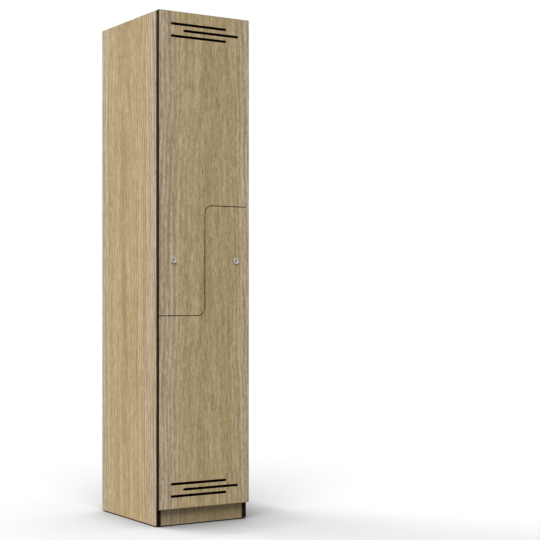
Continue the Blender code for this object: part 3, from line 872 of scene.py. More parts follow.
class Shape:
    """A bmesh being shaped, with the moves that the locker's pieces need."""

    MERGE = 0.000005
    FLAT = math.radians(0.5)
    SHARP = math.radians(40)

    def __init__(self) -> None:
        """Starts empty."""
        self.mesh = bmesh.new()

    def block(self, low: Sequence[float], high: Sequence[float]) -> Shape:
        """Adds a block.

        Args:
            low: Its lowest corner.
            high: Its highest corner.

        Returns:
            This shape.
        """
        low, high = Vector(low), Vector(high)
        made = bmesh.ops.create_cube(self.mesh, size=1.0)["verts"]
        bmesh.ops.scale(self.mesh, vec=high - low, verts=made)
        bmesh.ops.translate(self.mesh, vec=(low + high) / 2, verts=made)
        return self

    def prism(self, outline: Iterable[Pair], height: float) -> Shape:
        """Adds an upright prism.

        Args:
            outline: The corners of its foot in X and Y, at Z 0.
            height: How high it stands.

        Returns:
            This shape.
        """
        floor = self.mesh.faces.new([self.mesh.verts.new((x, y, 0)) for x, y in outline])
        made = bmesh.ops.extrude_face_region(self.mesh, geom=[floor])["geom"]
        bmesh.ops.translate(self.mesh, vec=(0, 0, height), verts=only(made, bmesh.types.BMVert))
        bmesh.ops.recalc_face_normals(self.mesh, faces=self.mesh.faces)
        return self

    def turned(self, profile: Sequence[Pair], steps: int) -> Shape:
        """Adds a shape turned round Z from its profile.

        Args:
            profile: Radius and height of each point.
            steps: Steps in a whole turn.

        Returns:
            This shape.
        """
        points = [self.mesh.verts.new((radius, 0, height)) for radius, height in profile]
        edges = [self.mesh.edges.new(pair) for pair in zip(points, points[1:])]
        bmesh.ops.spin(
            self.mesh, geom=points + edges, cent=(0, 0, 0), axis=UP, angle=math.tau,
            steps=steps, use_merge=True, use_normal_flip=False, use_duplicate=False,
        )
        return self.clean()

    def cylinder(self, radius: float, low: float, high: float, steps: int) -> Shape:
        """Adds an upright cylinder about Z."""
        return self.turned([(0, low), (radius, low), (radius, high), (0, high)], steps)

    def clean(self) -> Shape:
        """Merges doubles and turns every face outwards.

        Returns:
            This shape.
        """
        bmesh.ops.remove_doubles(self.mesh, verts=self.mesh.verts, dist=self.MERGE)
        bmesh.ops.recalc_face_normals(self.mesh, faces=self.mesh.faces)
        return self

    def flatten(self) -> Shape:
        """Joins faces that lie in one plane.

        Returns:
            This shape.
        """
        bmesh.ops.dissolve_limit(
            self.mesh, angle_limit=self.FLAT, use_dissolve_boundaries=False,
            verts=self.mesh.verts, edges=self.mesh.edges,
        )
        return self

    def sharp_edges(self, angle: float) -> list[bmesh.types.BMEdge]:
        """The edges whose faces meet at more than an angle."""
        return [edge for edge in self.mesh.edges if edge.is_manifold and edge.calc_face_angle() > angle]

    def deep_edges(self, least: float) -> list[bmesh.types.BMEdge]:
        """The edges that reach further than this along Y."""
        return [edge for edge in self.mesh.edges if abs(edge.verts[0].co.y - edge.verts[1].co.y) > least]

    def ease(self, width: float, segments: int = 2, angle: float = SHARP) -> Shape:
        """Rounds every edge sharper than an angle."""
        return self.round_edges(self.sharp_edges(angle), width, segments)

    def round_edges(self, edges: Sequence[bmesh.types.BMEdge], width: float, segments: int) -> Shape:
        """Rounds some edges.

        Args:
            edges: The edges.
            width: The radius that they get.
            segments: Steps round each.

        Returns:
            This shape.
        """
        bmesh.ops.bevel(
            self.mesh, geom=list(edges), offset=width, offset_type="OFFSET", segments=segments,
            profile=0.5, affect="EDGES", clamp_overlap=True, material=-1,
        )
        return self

    def ring(
        self, edges: Sequence[bmesh.types.BMEdge], growth: float, rise: float
    ) -> list[bmesh.types.BMEdge]:
        """Extrudes a round loop to the next one.

        Args:
            edges: The loop's edges.
            growth: The next loop's size over this one's.
            rise: How much higher the next loop lies.

        Returns:
            The next loop's edges.
        """
        made = bmesh.ops.extrude_edge_only(self.mesh, edges=list(edges))["geom"]
        points = only(made, bmesh.types.BMVert)
        bmesh.ops.scale(self.mesh, vec=(growth, growth, 1), verts=points)
        bmesh.ops.translate(self.mesh, vec=(0, 0, rise), verts=points)
        return only(made, bmesh.types.BMEdge)

    def move(self, placement: Matrix) -> Shape:
        """Moves the whole shape."""
        bmesh.ops.transform(self.mesh, matrix=placement, verts=self.mesh.verts)
        return self

    def release(self, name: str) -> bpy.types.Mesh:
        """Writes the shape to a new mesh, and lets the shape go.

        Args:
            name: The mesh's name.

        Returns:
            The mesh.
        """
        data = bpy.data.meshes.new(name)
        self.mesh.to_mesh(data)
        self.mesh.free()
        return data

    def join(self, other: Shape) -> Shape:
        """Adds another shape here, and lets that shape go.

        Args:
            other: The other shape.

        Returns:
            This shape.
        """
        carried = other.release("carried")
        self.mesh.from_mesh(carried)
        bpy.data.meshes.remove(carried)
        return self

    def take_node(self, node: bpy.types.Object) -> Shape:
        """Copies a frame node's mesh and merges its loose triangles.

        Args:
            node: The node.

        Returns:
            This shape.
        """
        self.mesh.from_mesh(node.data)
        self.move(node.matrix_world)
        bmesh.ops.remove_doubles(self.mesh, verts=self.mesh.verts, dist=self.MERGE)
        return self.flatten()

    def carve(self, cutter: Shape) -> Shape:
        """Cuts another shape out of this one, and lets the other go.

        Args:
            cutter: The shape to cut out.

        Returns:
            This shape.
        """
        bodies = []
        for shape in (self, cutter):
            body = bpy.data.objects.new("carving", shape.release("carving"))
            bpy.context.scene.collection.objects.link(body)
            bodies.append(body)
        modifier = bodies[0].modifiers.new("carve", "BOOLEAN")
        modifier.operation = "DIFFERENCE"
        modifier.solver = "EXACT"
        modifier.object = bodies[1]
        graph = bpy.context.evaluated_depsgraph_get()
        carved = bpy.data.meshes.new_from_object(bodies[0].evaluated_get(graph))
        self.mesh = bmesh.new()
        self.mesh.from_mesh(carved)
        bpy.data.meshes.remove(carved)
        for body in bodies:
            data = body.data
            bpy.data.objects.remove(body)
            bpy.data.meshes.remove(data)
        return self.clean()


@dataclass(frozen=True)
class CrossScrew:
    """The head of a cross-recessed screw, with its recess."""

    radius: float = 0.0035
    rise: float = 0.0012
    recess: float = 0.0008
    arm_share: float = 0.52
    crown_share: float = 0.78
    wall_share: float = 0.52
    steps: int = 12

    def shape(self) -> Shape:
        """Builds the head, its underside at Z 0 and its top up.

        A square of nine faces loses its corners, which leaves the cross. The round crown is joined to it,
        the cross is sunk, and the crown goes out and down to the head's rim and its upright wall.

        Returns:
            The head.
        """
        made = Shape()
        mesh = made.mesh
        reach = self.radius * self.arm_share
        bmesh.ops.create_grid(mesh, x_segments=3, y_segments=3, size=reach)
        middles = {face: face.calc_center_median() for face in mesh.faces}
        spare = [face for face, middle in middles.items() if min(abs(middle.x), abs(middle.y)) > reach / 2]
        bmesh.ops.delete(mesh, geom=spare, context="FACES")
        cross = list(mesh.faces)
        rim = [edge for edge in mesh.edges if edge.is_boundary]
        bmesh.ops.create_circle(mesh, segments=self.steps, radius=self.radius * self.crown_share)
        crown = [edge for edge in mesh.edges if edge.is_wire]
        bmesh.ops.bridge_loops(mesh, edges=rim + crown)
        sunk = only(bmesh.ops.extrude_face_region(mesh, geom=cross)["geom"], bmesh.types.BMVert)
        bmesh.ops.delete(mesh, geom=[face for face in cross if face.is_valid], context="FACES_ONLY")
        bmesh.ops.translate(mesh, vec=(0, 0, -self.recess), verts=sunk)
        bmesh.ops.scale(mesh, vec=(self.crown_share, self.crown_share, 1), verts=sunk)
        outer = [edge for edge in crown if edge.is_valid]
        outer = made.ring(outer, 1 / self.crown_share, -self.rise * (1 - self.wall_share))
        made.ring(outer, 1.0, -self.rise * self.wall_share)
        bmesh.ops.translate(mesh, vec=(0, 0, self.rise), verts=mesh.verts)
        return made.clean()


@dataclass
class Workshop:
    """Turns finished shapes into pieces on the frame."""

    nodes: dict[str, bpy.types.Object]
    shelf: GroupShelf = field(default_factory=GroupShelf)
    materials: dict[str, bpy.types.Material] = field(default_factory=dict)
    crease: float = math.radians(32)
    first_turn: float = math.radians(31)
    next_turn: float = math.radians(47)

    def finish(self, finish: Finish) -> bpy.types.Material:
        """Gives the material of a finish, and builds it at its first use.

        Args:
            finish: The finish.

        Returns:
            Its material.
        """
        if finish.name not in self.materials:
            self.materials[finish.name] = finish.build(self.shelf)
        return self.materials[finish.name]

    def piece(
        self, name: str, shape: Shape, finishes: Finish | Sequence[Finish], body: str,
        replaces: Sequence[str] = (), crease: float | None = None,
    ) -> None:
        """Makes a piece that rides on a body.

        Args:
            name: The piece's name.
            shape: Its shape, which is let go.
            finishes: Its finish, or one for each material index.
            body: The body it rides on.
            replaces: The frame nodes that it stands for.
            crease: The angle past which an edge stays sharp, where it isn't the usual one.
        """
        if not isinstance(finishes, Sequence):
            finishes = (finishes,)
        data = shape.release(name)
        for finish in finishes:
            data.materials.append(self.finish(finish))
        data.shade_smooth()
        data.set_sharp_from_angle(angle=crease or self.crease)
        made = bpy.data.objects.new(name, data)
        even = made.modifiers.new("even_shading", "WEIGHTED_NORMAL")
        even.keep_sharp = True
        bpy.context.scene.collection.objects.link(made)
        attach(made, body)
        if replaces:
            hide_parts(*replaces)
        LOG.info("%s: %d faces on %s", name, len(data.polygons), body)

    def refined(self, node: str, name: str, finish: Finish, body: str, width: float = 0.0) -> None:
        """Replaces a frame node with a smooth copy whose edges are eased.

        Args:
            node: The node's name.
            name: The piece's name.
            finish: Its finish.
            body: The body it rides on.
            width: How far its edges are eased.
        """
        shape = Shape().take_node(self.nodes[node])
        if width:
            shape.ease(width)
        self.piece(name, shape, finish, body, (node,))

    def screw_heads(
        self, name: str, body: str, seats: Iterable[tuple[Sequence[float], Triple]], screw: CrossScrew
    ) -> None:
        """Makes one piece of several screw heads, each turned its own way.

        Args:
            name: The piece's name.
            body: The body it rides on.
            seats: Each head's seat and the way it faces.
            screw: The screw.
        """
        made = Shape()
        for index, (point, direction) in enumerate(seats):
            turn = Matrix.Rotation(self.first_turn + self.next_turn * index, 4, "Z")
            made.join(screw.shape().move(facing(point, direction) @ turn))
        self.piece(name, made, SCREW_STEEL, body)


@dataclass
class Carcass:
    """The boards, their black front edging, the glides, and the caps and screws that show."""

    workshop: Workshop
    arris: float = 0.0004
    band_arris: float = 0.0003
    round_steps: int = 36
    cap_radius: float = 0.0085
    cap_rise: float = 0.0009
    cap_inset: float = 0.034
    cap_from_front: float = 0.0748
    cap_from_rear: float = 0.0544
    cap_shares: tuple[Pair, ...] = (
        (0, 0.55), (0.62, 0.55), (0.70, 1.0), (0.90, 1.0), (1.0, 0.35), (1.0, -1.0), (0, -1.0),
    )
    glide_edge_share: float = 0.12
    glide_dimple_share: float = 0.3
    glide_shoulder_share: float = 0.8
    screw_rows: int = 7
    screw_inset: float = 0.0085
    screw_sunk: float = 0.0012
    back_screw: CrossScrew = CrossScrew()
    edged: tuple[str, ...] = (
        "left_side", "right_side", "top", "bottom", "partition", "upper_shelf", "lower_shelf",
    )

    def build(self) -> None:
        """Builds every piece of the carcass."""
        self.build_boards()
        self.build_edging()
        self.build_glides()
        self.build_caps()
        self.build_back_screws()

    def build_boards(self) -> None:
        """Builds the boards with eased arrises, each up against its edging."""
        finishes = {
            "left_side_panel": OAK_LEFT_SIDE,
            "right_side_panel": OAK_RIGHT_SIDE,
            "top_panel": OAK_ACROSS,
            "bottom_panel": OAK_ACROSS,
            "back_panel": OAK_UPRIGHT,
            # The kick plate and rear rail take the darkened oak, which is painted shade.
            "kick_plate": OAK_KICK_PAINTED_SHADE,
            "rear_rail": OAK_KICK_PAINTED_SHADE,
            "partition": OAK_UPRIGHT,
            "upper_shelf": OAK_ACROSS,
            "lower_shelf": OAK_ACROSS,
        }
        for node, finish in finishes.items():
            stem = node.removesuffix("_panel").removesuffix("_plate")
            low, high = box_of(node)
            if stem in self.edged:
                low.y = box_of(f"{stem}_edging").high.y
            board = Shape().block(low, high).ease(self.arris)
            self.workshop.piece(f"{stem}_board", board, finish, CARCASS, (node,))

    def build_edging(self) -> None:
        """Builds the black strips on the boards' front edges."""
        for stem in self.edged:
            node = f"{stem}_edging"
            strip = Shape().block(*box_of(node)).ease(self.band_arris)
            self.workshop.piece(f"{stem}_black_band", strip, BLACK_EDGING, CARCASS, (node,))

    def build_glides(self) -> None:
        """Builds the four glides, with eased rims and the dimple of a nail."""
        for side in Side:
            for place in ("front", "rear"):
                stem = f"{side.name.lower()}_{place}"
                box = box_of(f"{stem}_glide")
                radius = box.size.x / 2
                height = box.high.z
                edge = radius * self.glide_edge_share
                dimple = radius * self.glide_dimple_share
                profile = [
                    (0, height), (radius - edge, height), (radius, height * self.glide_shoulder_share),
                    (radius, edge), (radius - edge, 0), (dimple + edge, 0), (dimple, edge), (0, edge),
                ]
                glide = Shape().turned(profile, self.round_steps)
                glide.move(Matrix.Translation((box.middle.x, box.middle.y, box.low.z)))
                self.workshop.piece(f"{stem}_foot_glide", glide, BLACK_PLASTIC, CARCASS, (f"{stem}_glide",))

    def build_caps(self) -> None:
        """Sets the cover caps of the cam fittings, under the level boards' ends."""
        boards = [box_of(node) for node in ("top_panel", "bottom_panel", "upper_shelf", "lower_shelf")]
        profile = scaled_profile(self.cap_shares, self.cap_radius, self.cap_rise)
        caps = Shape()
        for y in (boards[0].low.y + self.cap_from_front, boards[0].high.y - self.cap_from_rear):
            for board in boards:
                for x in (board.low.x + self.cap_inset, board.high.x - self.cap_inset):
                    cap = Shape().turned(profile, self.round_steps)
                    caps.join(cap.move(facing((x, y, board.low.z), DOWN)))
        self.workshop.piece("cam_fitting_caps", caps, BLACK_PLASTIC, CARCASS)

    def build_back_screws(self) -> None:
        """Sets the screws round the back panel."""
        low, high = box_of("back_panel")
        y = high.y - self.screw_sunk
        left, right = low.x + self.screw_inset, high.x - self.screw_inset
        foot, head = low.z + self.screw_inset, high.z - self.screw_inset
        seats = []
        for row in range(self.screw_rows):
            z = foot + (head - foot) * row / (self.screw_rows - 1)
            seats += [((left, y, z), BACKWARD), ((right, y, z), BACKWARD)]
        seats += [((0, y, foot), BACKWARD), ((0, y, head), BACKWARD)]
        self.workshop.screw_heads("back_panel_screws", CARCASS, seats, self.back_screw)


@dataclass
class DoorPart:
    """A part that belongs to one of the doors."""

    workshop: Workshop
    leaf: Leaf

    @property
    def door(self) -> Box:
        """The box of the door."""
        return box_of(f"{self.leaf.body}_edging")


@dataclass
class Door(DoorPart):
    """One L-shaped door: its board, slots, bores, black edging and bumpers."""

    band: float = 0.0005
    band_ease_share: float = 0.45
    arris: float = 0.00035
    leg_corner: int = 2
    throat_corner: int = 3
    line_radius: float = 0.030
    line_steps: int = 10
    gap: float = 0.002
    corner_angle: float = math.radians(60)
    overrun_share: float = 0.25
    slot_rows: int = 3
    slot_length: float = 0.233
    slot_height: float = 0.0094
    slot_margin: float = 0.048
    slot_first: float = 0.045
    slot_pitch: float = 0.022
    slot_end_share: float = 0.999
    slot_steps: int = 8
    bore_radius: float = 0.0176
    bore_depth: float = 0.0132
    bore_steps: int = 48
    lock_radius: float = 0.0093
    lock_steps: int = 36
    bumper_radius: float = 0.0042
    bumper_rise: float = 0.0014
    bumper_from_foot: float = 0.009
    bumper_from_tip: float = 0.05
    bumper_steps: int = 24
    bumper_shares: tuple[Pair, ...] = ((0, 1.0), (0.5, 0.94), (0.82, 0.66), (1.0, 0.0), (0, 0.0))

    def build(self) -> None:
        """Builds the door's pieces."""
        self.build_board()
        self.build_band()
        self.build_bumpers()

    @property
    def tip_way(self) -> int:
        """Which way the L's long leg points: 1 for up, -1 for down."""
        return 1 if self.leaf is Leaf.LOWER else -1

    def foot_and_tip(self, inset: float) -> Pair:
        """The heights of the L's broad end and of its leg's tip, each drawn in."""
        low, high = self.door.low.z + inset, self.door.high.z - inset
        return (low, high) if self.leaf is Leaf.LOWER else (high, low)

    @property
    def overrun(self) -> float:
        """How far a cutter reaches past the board's faces."""
        return self.door.size.y * self.overrun_share

    def step_height(self) -> float:
        """Finds where the L's broad part ends, a gap from the other door's leg.

        Returns:
            The height.
        """
        other = box_of(f"{self.leaf.other.body}_edging")
        tip = other.low.z if self.leaf is Leaf.LOWER else other.high.z
        return tip - self.tip_way * self.gap

    def outline(self, inset: float) -> list[Pair]:
        """Lists the L's corners in front view.

        Args:
            inset: How far the outline is drawn in.

        Returns:
            The corners, from the broad end up the long leg and back along the step.
        """
        way = self.leaf.free.value
        far = way * (self.door.high.x - inset)
        leg = way * (self.gap / 2 + inset)
        foot, tip = self.foot_and_tip(inset)
        step = self.step_height() - self.tip_way * inset
        return [(far, foot), (far, tip), (leg, tip), (leg, step), (-far, step), (-far, foot)]

    def slab(self, inset: float, front: float, back: float) -> Shape:
        """Makes the L-shaped slab, with the leg's corner and the throat rounded about one line.

        Args:
            inset: How far the outline is drawn in.
            front: Where its front lies.
            back: Where its back lies.

        Returns:
            The slab.
        """
        corners = self.outline(inset)
        made = Shape().prism(corners, back - front)
        offset = self.gap / 2 + inset
        radii = {self.leg_corner: self.line_radius - offset, self.throat_corner: self.line_radius + offset}
        for index, radius in radii.items():
            corner = Vector(corners[index])
            upright = [
                edge for edge in made.mesh.edges
                if all((point.co.xy - corner).length < Shape.MERGE for point in edge.verts)
            ]
            made.round_edges(upright, radius, self.line_steps)
        return made.move(standing((0, back, 0))).clean()

    def slots(self) -> list[Pair]:
        """Places the slots, from the L's broad end towards its tip and by turns to one side and the other.

        Returns:
            Each slot's middle, as X and Z.
        """
        reach = self.door.high.x - self.slot_margin - self.slot_length / 2
        foot, _ = self.foot_and_tip(0.0)
        middles = []
        for row in range(self.slot_rows):
            x = reach if row % 2 else -reach
            middles.append((x, foot + self.tip_way * (self.slot_first + row * self.slot_pitch)))
        return middles

    def slot_cutter(self, x: float, z: float) -> Shape:
        """Makes the round-ended block that cuts one slot.

        Args:
            x: The slot's middle along X.
            z: The slot's middle along Z.

        Returns:
            The block.
        """
        half, radius = self.slot_length / 2, self.slot_height / 2
        front, back = self.door.low.y - self.overrun, self.door.high.y + self.overrun
        cutter = Shape().block((x - half, front, z - radius), (x + half, back, z + radius))
        ends = cutter.deep_edges(radius)
        return cutter.round_edges(ends, radius * self.slot_end_share, self.slot_steps).clean()

    def build_board(self) -> None:
        """Builds the board with its slots, lock hole and hinge bores."""
        stem = self.leaf.body
        front, back = self.door.low.y, self.door.high.y
        board = self.slab(self.band, front, back)
        for x, z in self.slots():
            board.carve(self.slot_cutter(x, z))
        lock = box_of(f"{self.leaf.value}_lock_housing").middle
        hole = Shape().cylinder(
            self.lock_radius, -self.overrun, back - front + self.overrun, self.lock_steps
        )
        board.carve(hole.move(facing((lock.x, front, lock.z), BACKWARD)))
        for place in ("low", "high"):
            cup = box_of(f"{self.leaf.value}_{place}_hinge_cup").middle
            bore = Shape().cylinder(self.bore_radius, -self.overrun, self.bore_depth, self.bore_steps)
            board.carve(bore.move(facing((cup.x, back, cup.z), FORWARD)))
        board.flatten()
        # Faces inside the slots and bores take the near-black core, which is partly painted shade.
        steep = math.cos(self.corner_angle)
        for face in board.mesh.faces:
            depth = face.calc_center_median().y
            inner = abs(face.normal.y) < steep or front + self.arris < depth < back - self.arris
            face.material_index = 1 if inner else 0
        board.ease(self.arris, angle=self.corner_angle)
        self.workshop.piece(f"{stem}_board", board, (OAK_DOOR, BLACK_CORE_AND_PAINTED_SHADE), stem, (f"{stem}_panel",))

    def build_band(self) -> None:
        """Builds the black edging round the door."""
        stem = self.leaf.body
        front, back = self.door.low.y, self.door.high.y
        band = self.slab(0.0, front, back)
        band.carve(self.slab(self.band, front - self.overrun, back + self.overrun)).flatten()
        band.ease(self.band * self.band_ease_share, angle=self.corner_angle)
        self.workshop.piece(f"{stem}_black_band", band, BLACK_EDGING, stem, (f"{stem}_edging",))

    def build_bumpers(self) -> None:
        """Builds the two soft bumpers at the door's free edge."""
        x = self.leaf.free.value * (self.door.high.x - 2 * self.bumper_radius)
        foot, tip = self.foot_and_tip(0.0)
        foot += self.tip_way * self.bumper_from_foot
        tip -= self.tip_way * self.bumper_from_tip
        profile = scaled_profile(self.bumper_shares, self.bumper_radius, self.bumper_rise)
        bumpers = Shape()
        for z in sorted((foot, tip)):
            dome = Shape().turned(profile, self.bumper_steps)
            bumpers.join(dome.move(facing((x, self.door.high.y, z), BACKWARD)))
        self.workshop.piece(f"{self.leaf.body}_bumpers", bumpers, CLEAR_GREY, self.leaf.body)


@dataclass
class CamLock(DoorPart):
    """A cam lock: rosette and threaded barrel, core with its keyway, nut, cam and cam screw."""

    steps: int = 48
    core_radius: float = 0.0065
    core_clearance: float = 0.0002
    core_ease: float = 0.0004
    stem_share: float = 0.54
    barrel_radius: float = 0.0092
    barrel_seat: float = 0.0001
    thread_depth: float = 0.0004
    thread_pitch: float = 0.001
    lip: float = 0.0003
    lip_shares: Pair = (0.40, 0.80)
    dish_share: float = 0.90
    rim_shares: tuple[Pair, ...] = (
        (0.72, 0.90), (0.78, 1.0), (0.86, 1.0), (0.93, 0.93), (0.98, 0.74), (1.0, 0.48),
    )
    rosette_crease: float = math.radians(24)
    plug_crease: float = math.radians(28)
    keyway_length: float = 0.0082
    keyway_width: float = 0.0019
    keyway_depth: float = 0.012
    tooth_width_shares: Pair = (0.5, 1.8)
    tooth_length_shares: Pair = (0.35, 0.10)
    tooth_depth_share: float = 0.5
    nut_arris: float = 0.0003
    cam_arris: float = 0.0004
    bolt_recess: float = 0.0013

    @property
    def stem(self) -> str:
        """How the names of the lock's nodes start."""
        return f"{self.leaf.value}_lock"

    @property
    def housing(self) -> Box:
        """The box of the lock's housing."""
        return box_of(f"{self.stem}_housing")

    @property
    def core_body(self) -> str:
        """The body that turns with the key."""
        return f"{self.stem}_core"

    def build(self) -> None:
        """Builds the lock's pieces."""
        nut, cam = f"{self.stem}_nut", f"{self.stem}_cam"
        self.build_housing()
        self.build_core()
        self.workshop.refined(nut, f"{self.stem}_ring_nut", NICKEL, self.leaf.body, self.nut_arris)
        self.workshop.refined(cam, f"{self.stem}_pressed_cam", STEEL, self.core_body, self.cam_arris)
        self.build_cam_screw()

    def placement(self) -> Matrix:
        """A placement on the lock's axis, facing forward, in the plane of the door's face."""
        middle = self.housing.middle
        return facing((middle.x, self.door.low.y, middle.z), FORWARD)

    def build_housing(self) -> None:
        """Builds the rosette, with a raised rim and a dished face, and the threaded barrel behind it."""
        proud = self.door.low.y - self.housing.low.y
        depth = self.housing.high.y - self.door.low.y
        thread_start = self.door.size.y
        bore = self.core_radius + self.core_clearance
        root = self.barrel_radius - self.thread_depth
        lip_low, lip_high = (proud * share for share in self.lip_shares)
        profile = [(bore, lip_low), (bore, lip_high), (bore + self.lip, proud * self.dish_share)]
        profile += scaled_profile(self.rim_shares, self.housing.size.x / 2, proud)
        profile.append((self.housing.size.x / 2, self.barrel_seat))
        profile += [(self.barrel_radius, self.barrel_seat), (self.barrel_radius, -thread_start)]
        for turn in range(int((depth - thread_start) / self.thread_pitch)):
            crest = -thread_start - turn * self.thread_pitch
            profile.append((root, crest - self.thread_pitch / 2))
            profile.append((self.barrel_radius, crest - self.thread_pitch))
        profile += [(root, -depth), (bore, -depth), (bore, lip_low)]
        made = Shape().turned(profile, self.steps).move(self.placement())
        self.workshop.piece(
            f"{self.stem}_rosette", made, LOCK_FACE, self.leaf.body, (f"{self.stem}_housing",),
            self.rosette_crease,
        )

    def build_core(self) -> None:
        """Builds the turning core, with an eased rim, its keyway and the stem that carries the cam."""
        core = box_of(self.core_body)
        out = self.door.low.y - core.low.y
        back = core.high.y - self.door.low.y
        barrel_end = self.housing.high.y - self.door.low.y
        radius, ease = self.core_radius, self.core_ease
        thin = radius * self.stem_share
        profile = [
            (0, out), (radius - 2 * ease, out), (radius - ease / 2, out - ease / 2),
            (radius, out - 1.5 * ease), (radius, -barrel_end), (thin, -barrel_end), (thin, -back), (0, -back),
        ]
        made = Shape().turned(profile, self.steps).move(self.placement())
        made.carve(self.keyway((-1.0, 1.0), (-1.0, 1.0), 1.0))
        tooth_low, tooth_high = self.tooth_length_shares
        made.carve(self.keyway(self.tooth_width_shares, (-tooth_low, tooth_high), self.tooth_depth_share))
        # The plug's darker metal paints the shade round the keyhole.
        self.workshop.piece(
            f"{self.stem}_plug", made, PLUG_PAINTED_SHADE, self.core_body, (self.core_body,), self.plug_crease
        )

    def keyway(self, width_shares: Pair, length_shares: Pair, depth_share: float) -> Shape:
        """A block that cuts a part of the keyway.

        Args:
            width_shares: Its left and right, in half widths of the keyway from the lock's axis.
            length_shares: Its foot and head, in half lengths of the keyway from the lock's axis.
            depth_share: Its depth over the keyway's.

        Returns:
            The block.
        """
        middle = self.housing.middle
        front = box_of(self.core_body).low.y
        left, right = (middle.x + self.keyway_width / 2 * share for share in width_shares)
        foot, head = (middle.z + self.keyway_length / 2 * share for share in length_shares)
        depth = self.keyway_depth * depth_share
        return Shape().block((left, front - self.core_ease, foot), (right, front + depth, head))

    def build_cam_screw(self) -> None:
        """Builds the screw that holds the cam."""
        node = f"{self.stem}_cam_screw"
        box = box_of(node)
        middle = self.housing.middle
        screw = CrossScrew(box.size.x / 2, box.size.y, self.bolt_recess)
        made = screw.shape().move(facing((middle.x, box.low.y, middle.z), BACKWARD))
        self.workshop.piece(f"{self.stem}_cam_bolt", made, SCREW_STEEL, self.core_body, (node,))


@dataclass
class CupHinge(DoorPart):
    """A concealed hinge: cup with screwed ears, two links, arm with its adjusters, and the mounting plate."""

    place: str
    link_arris: float = 0.00025
    arm_arris: float = 0.0003
    ear_reach: float = 0.0272
    ear_half: float = 0.0058
    ear_offset: float = 0.0055
    ear_root_share: float = 0.80
    ear_corner_share: float = 0.75
    ear_corner_steps: int = 6
    ear_lift: float = 0.0002
    ear_sunk: float = 0.0001
    ear_arris: float = 0.0002
    ear_tolerance: float = 0.001
    ear_screw_reach: float = 0.0225
    ear_screw: CrossScrew = CrossScrew(0.0034, 0.0007, 0.0005)
    plate_screw_from_front: float = 0.037
    plate_screw_reach: float = 0.016
    plate_screw: CrossScrew = CrossScrew(0.0040, 0.0014, 0.0009)
    adjuster_places: Pair = (0.0165, 0.0285)
    adjuster: CrossScrew = CrossScrew(0.0032, 0.0010, 0.0008)
    cover_length: float = 0.026
    cover_half: float = 0.0060
    cover_rise: float = 0.0011
    cover_inset: float = 0.001
    cover_arris: float = 0.0005
    cover_steps: int = 3

    @property
    def stem(self) -> str:
        """How the names of the hinge's nodes start."""
        return f"{self.leaf.value}_{self.place}_hinge"

    def build(self) -> None:
        """Builds the hinge's pieces."""
        door = self.leaf.value
        for node, piece, body, arris in (
            ("cup", "pressed_cup", self.leaf.body, 0.0),
            ("front_link", "outer_link", f"{door}_front_links", self.link_arris),
            ("rear_link", "inner_link", f"{door}_rear_links", self.link_arris),
            ("arm", "channel_arm", CARCASS, self.arm_arris),
            ("mounting_plate", "wing_plate", CARCASS, self.arm_arris),
        ):
            self.workshop.refined(f"{self.stem}_{node}", f"{self.stem}_{piece}", STEEL, body, arris)
        self.build_ears()
        self.build_arm_fittings()

    def ear(self, way: int) -> Shape:
        """Makes one ear of the cup.

        Args:
            way: 1 for the ear above the cup, -1 for the one below it.

        Returns:
            The ear.
        """
        cup = box_of(f"{self.stem}_cup")
        front, back = self.door.high.y + self.ear_lift, cup.high.y - self.ear_sunk
        x = cup.middle.x + self.leaf.free.value * self.ear_offset
        root = cup.middle.z + way * cup.size.z / 2 * self.ear_root_share
        tip = cup.middle.z + way * self.ear_reach
        made = Shape().block(
            (x - self.ear_half, front, min(root, tip)), (x + self.ear_half, back, max(root, tip))
        )
        corners = [
            edge for edge in made.deep_edges((back - front) / 2)
            if abs(edge.verts[0].co.z - tip) < self.ear_tolerance
        ]
        made.round_edges(corners, self.ear_half * self.ear_corner_share, self.ear_corner_steps)
        return made.ease(self.ear_arris, 1)

    def build_ears(self) -> None:
        """Builds the two ears that screw the cup to the door, and their screws."""
        cup = box_of(f"{self.stem}_cup")
        x = cup.middle.x + self.leaf.free.value * self.ear_offset
        ears = Shape()
        seats = []
        for way in (-1, 1):
            ears.join(self.ear(way))
            z = cup.middle.z + way * self.ear_screw_reach
            seats.append(((x, cup.high.y - self.ear_sunk, z), BACKWARD))
        self.workshop.piece(f"{self.stem}_cup_ears", ears, STEEL, self.leaf.body)
        self.workshop.screw_heads(f"{self.stem}_cup_screws", self.leaf.body, seats, self.ear_screw)

    def build_arm_fittings(self) -> None:
        """Builds the arm's adjusting screws and cover, and the plate's two wood screws."""
        arm = box_of(f"{self.stem}_arm")
        plate = box_of(f"{self.stem}_mounting_plate")
        way = self.leaf.free.value
        inward = (way, 0, 0)
        web, face = arm.face_x(way), plate.face_x(way)
        z = arm.middle.z
        wing = box_of("left_side_edging").low.y + self.plate_screw_from_front
        seats = [((face, wing, z + side * self.plate_screw_reach), inward) for side in (-1, 1)]
        self.workshop.screw_heads(f"{self.stem}_plate_screws", CARCASS, seats, self.plate_screw)
        seats = [((web, arm.low.y + place, z), inward) for place in self.adjuster_places]
        self.workshop.screw_heads(f"{self.stem}_adjusters", CARCASS, seats, self.adjuster)
        near, far = sorted((web, web + way * self.cover_rise))
        cover = Shape().block(
            (near, arm.high.y - self.cover_length, z - self.cover_half),
            (far, arm.high.y - self.cover_inset, z + self.cover_half),
        )
        cover.ease(self.cover_arris, self.cover_steps)
        self.workshop.piece(f"{self.stem}_cover", cover, STEEL, CARCASS)


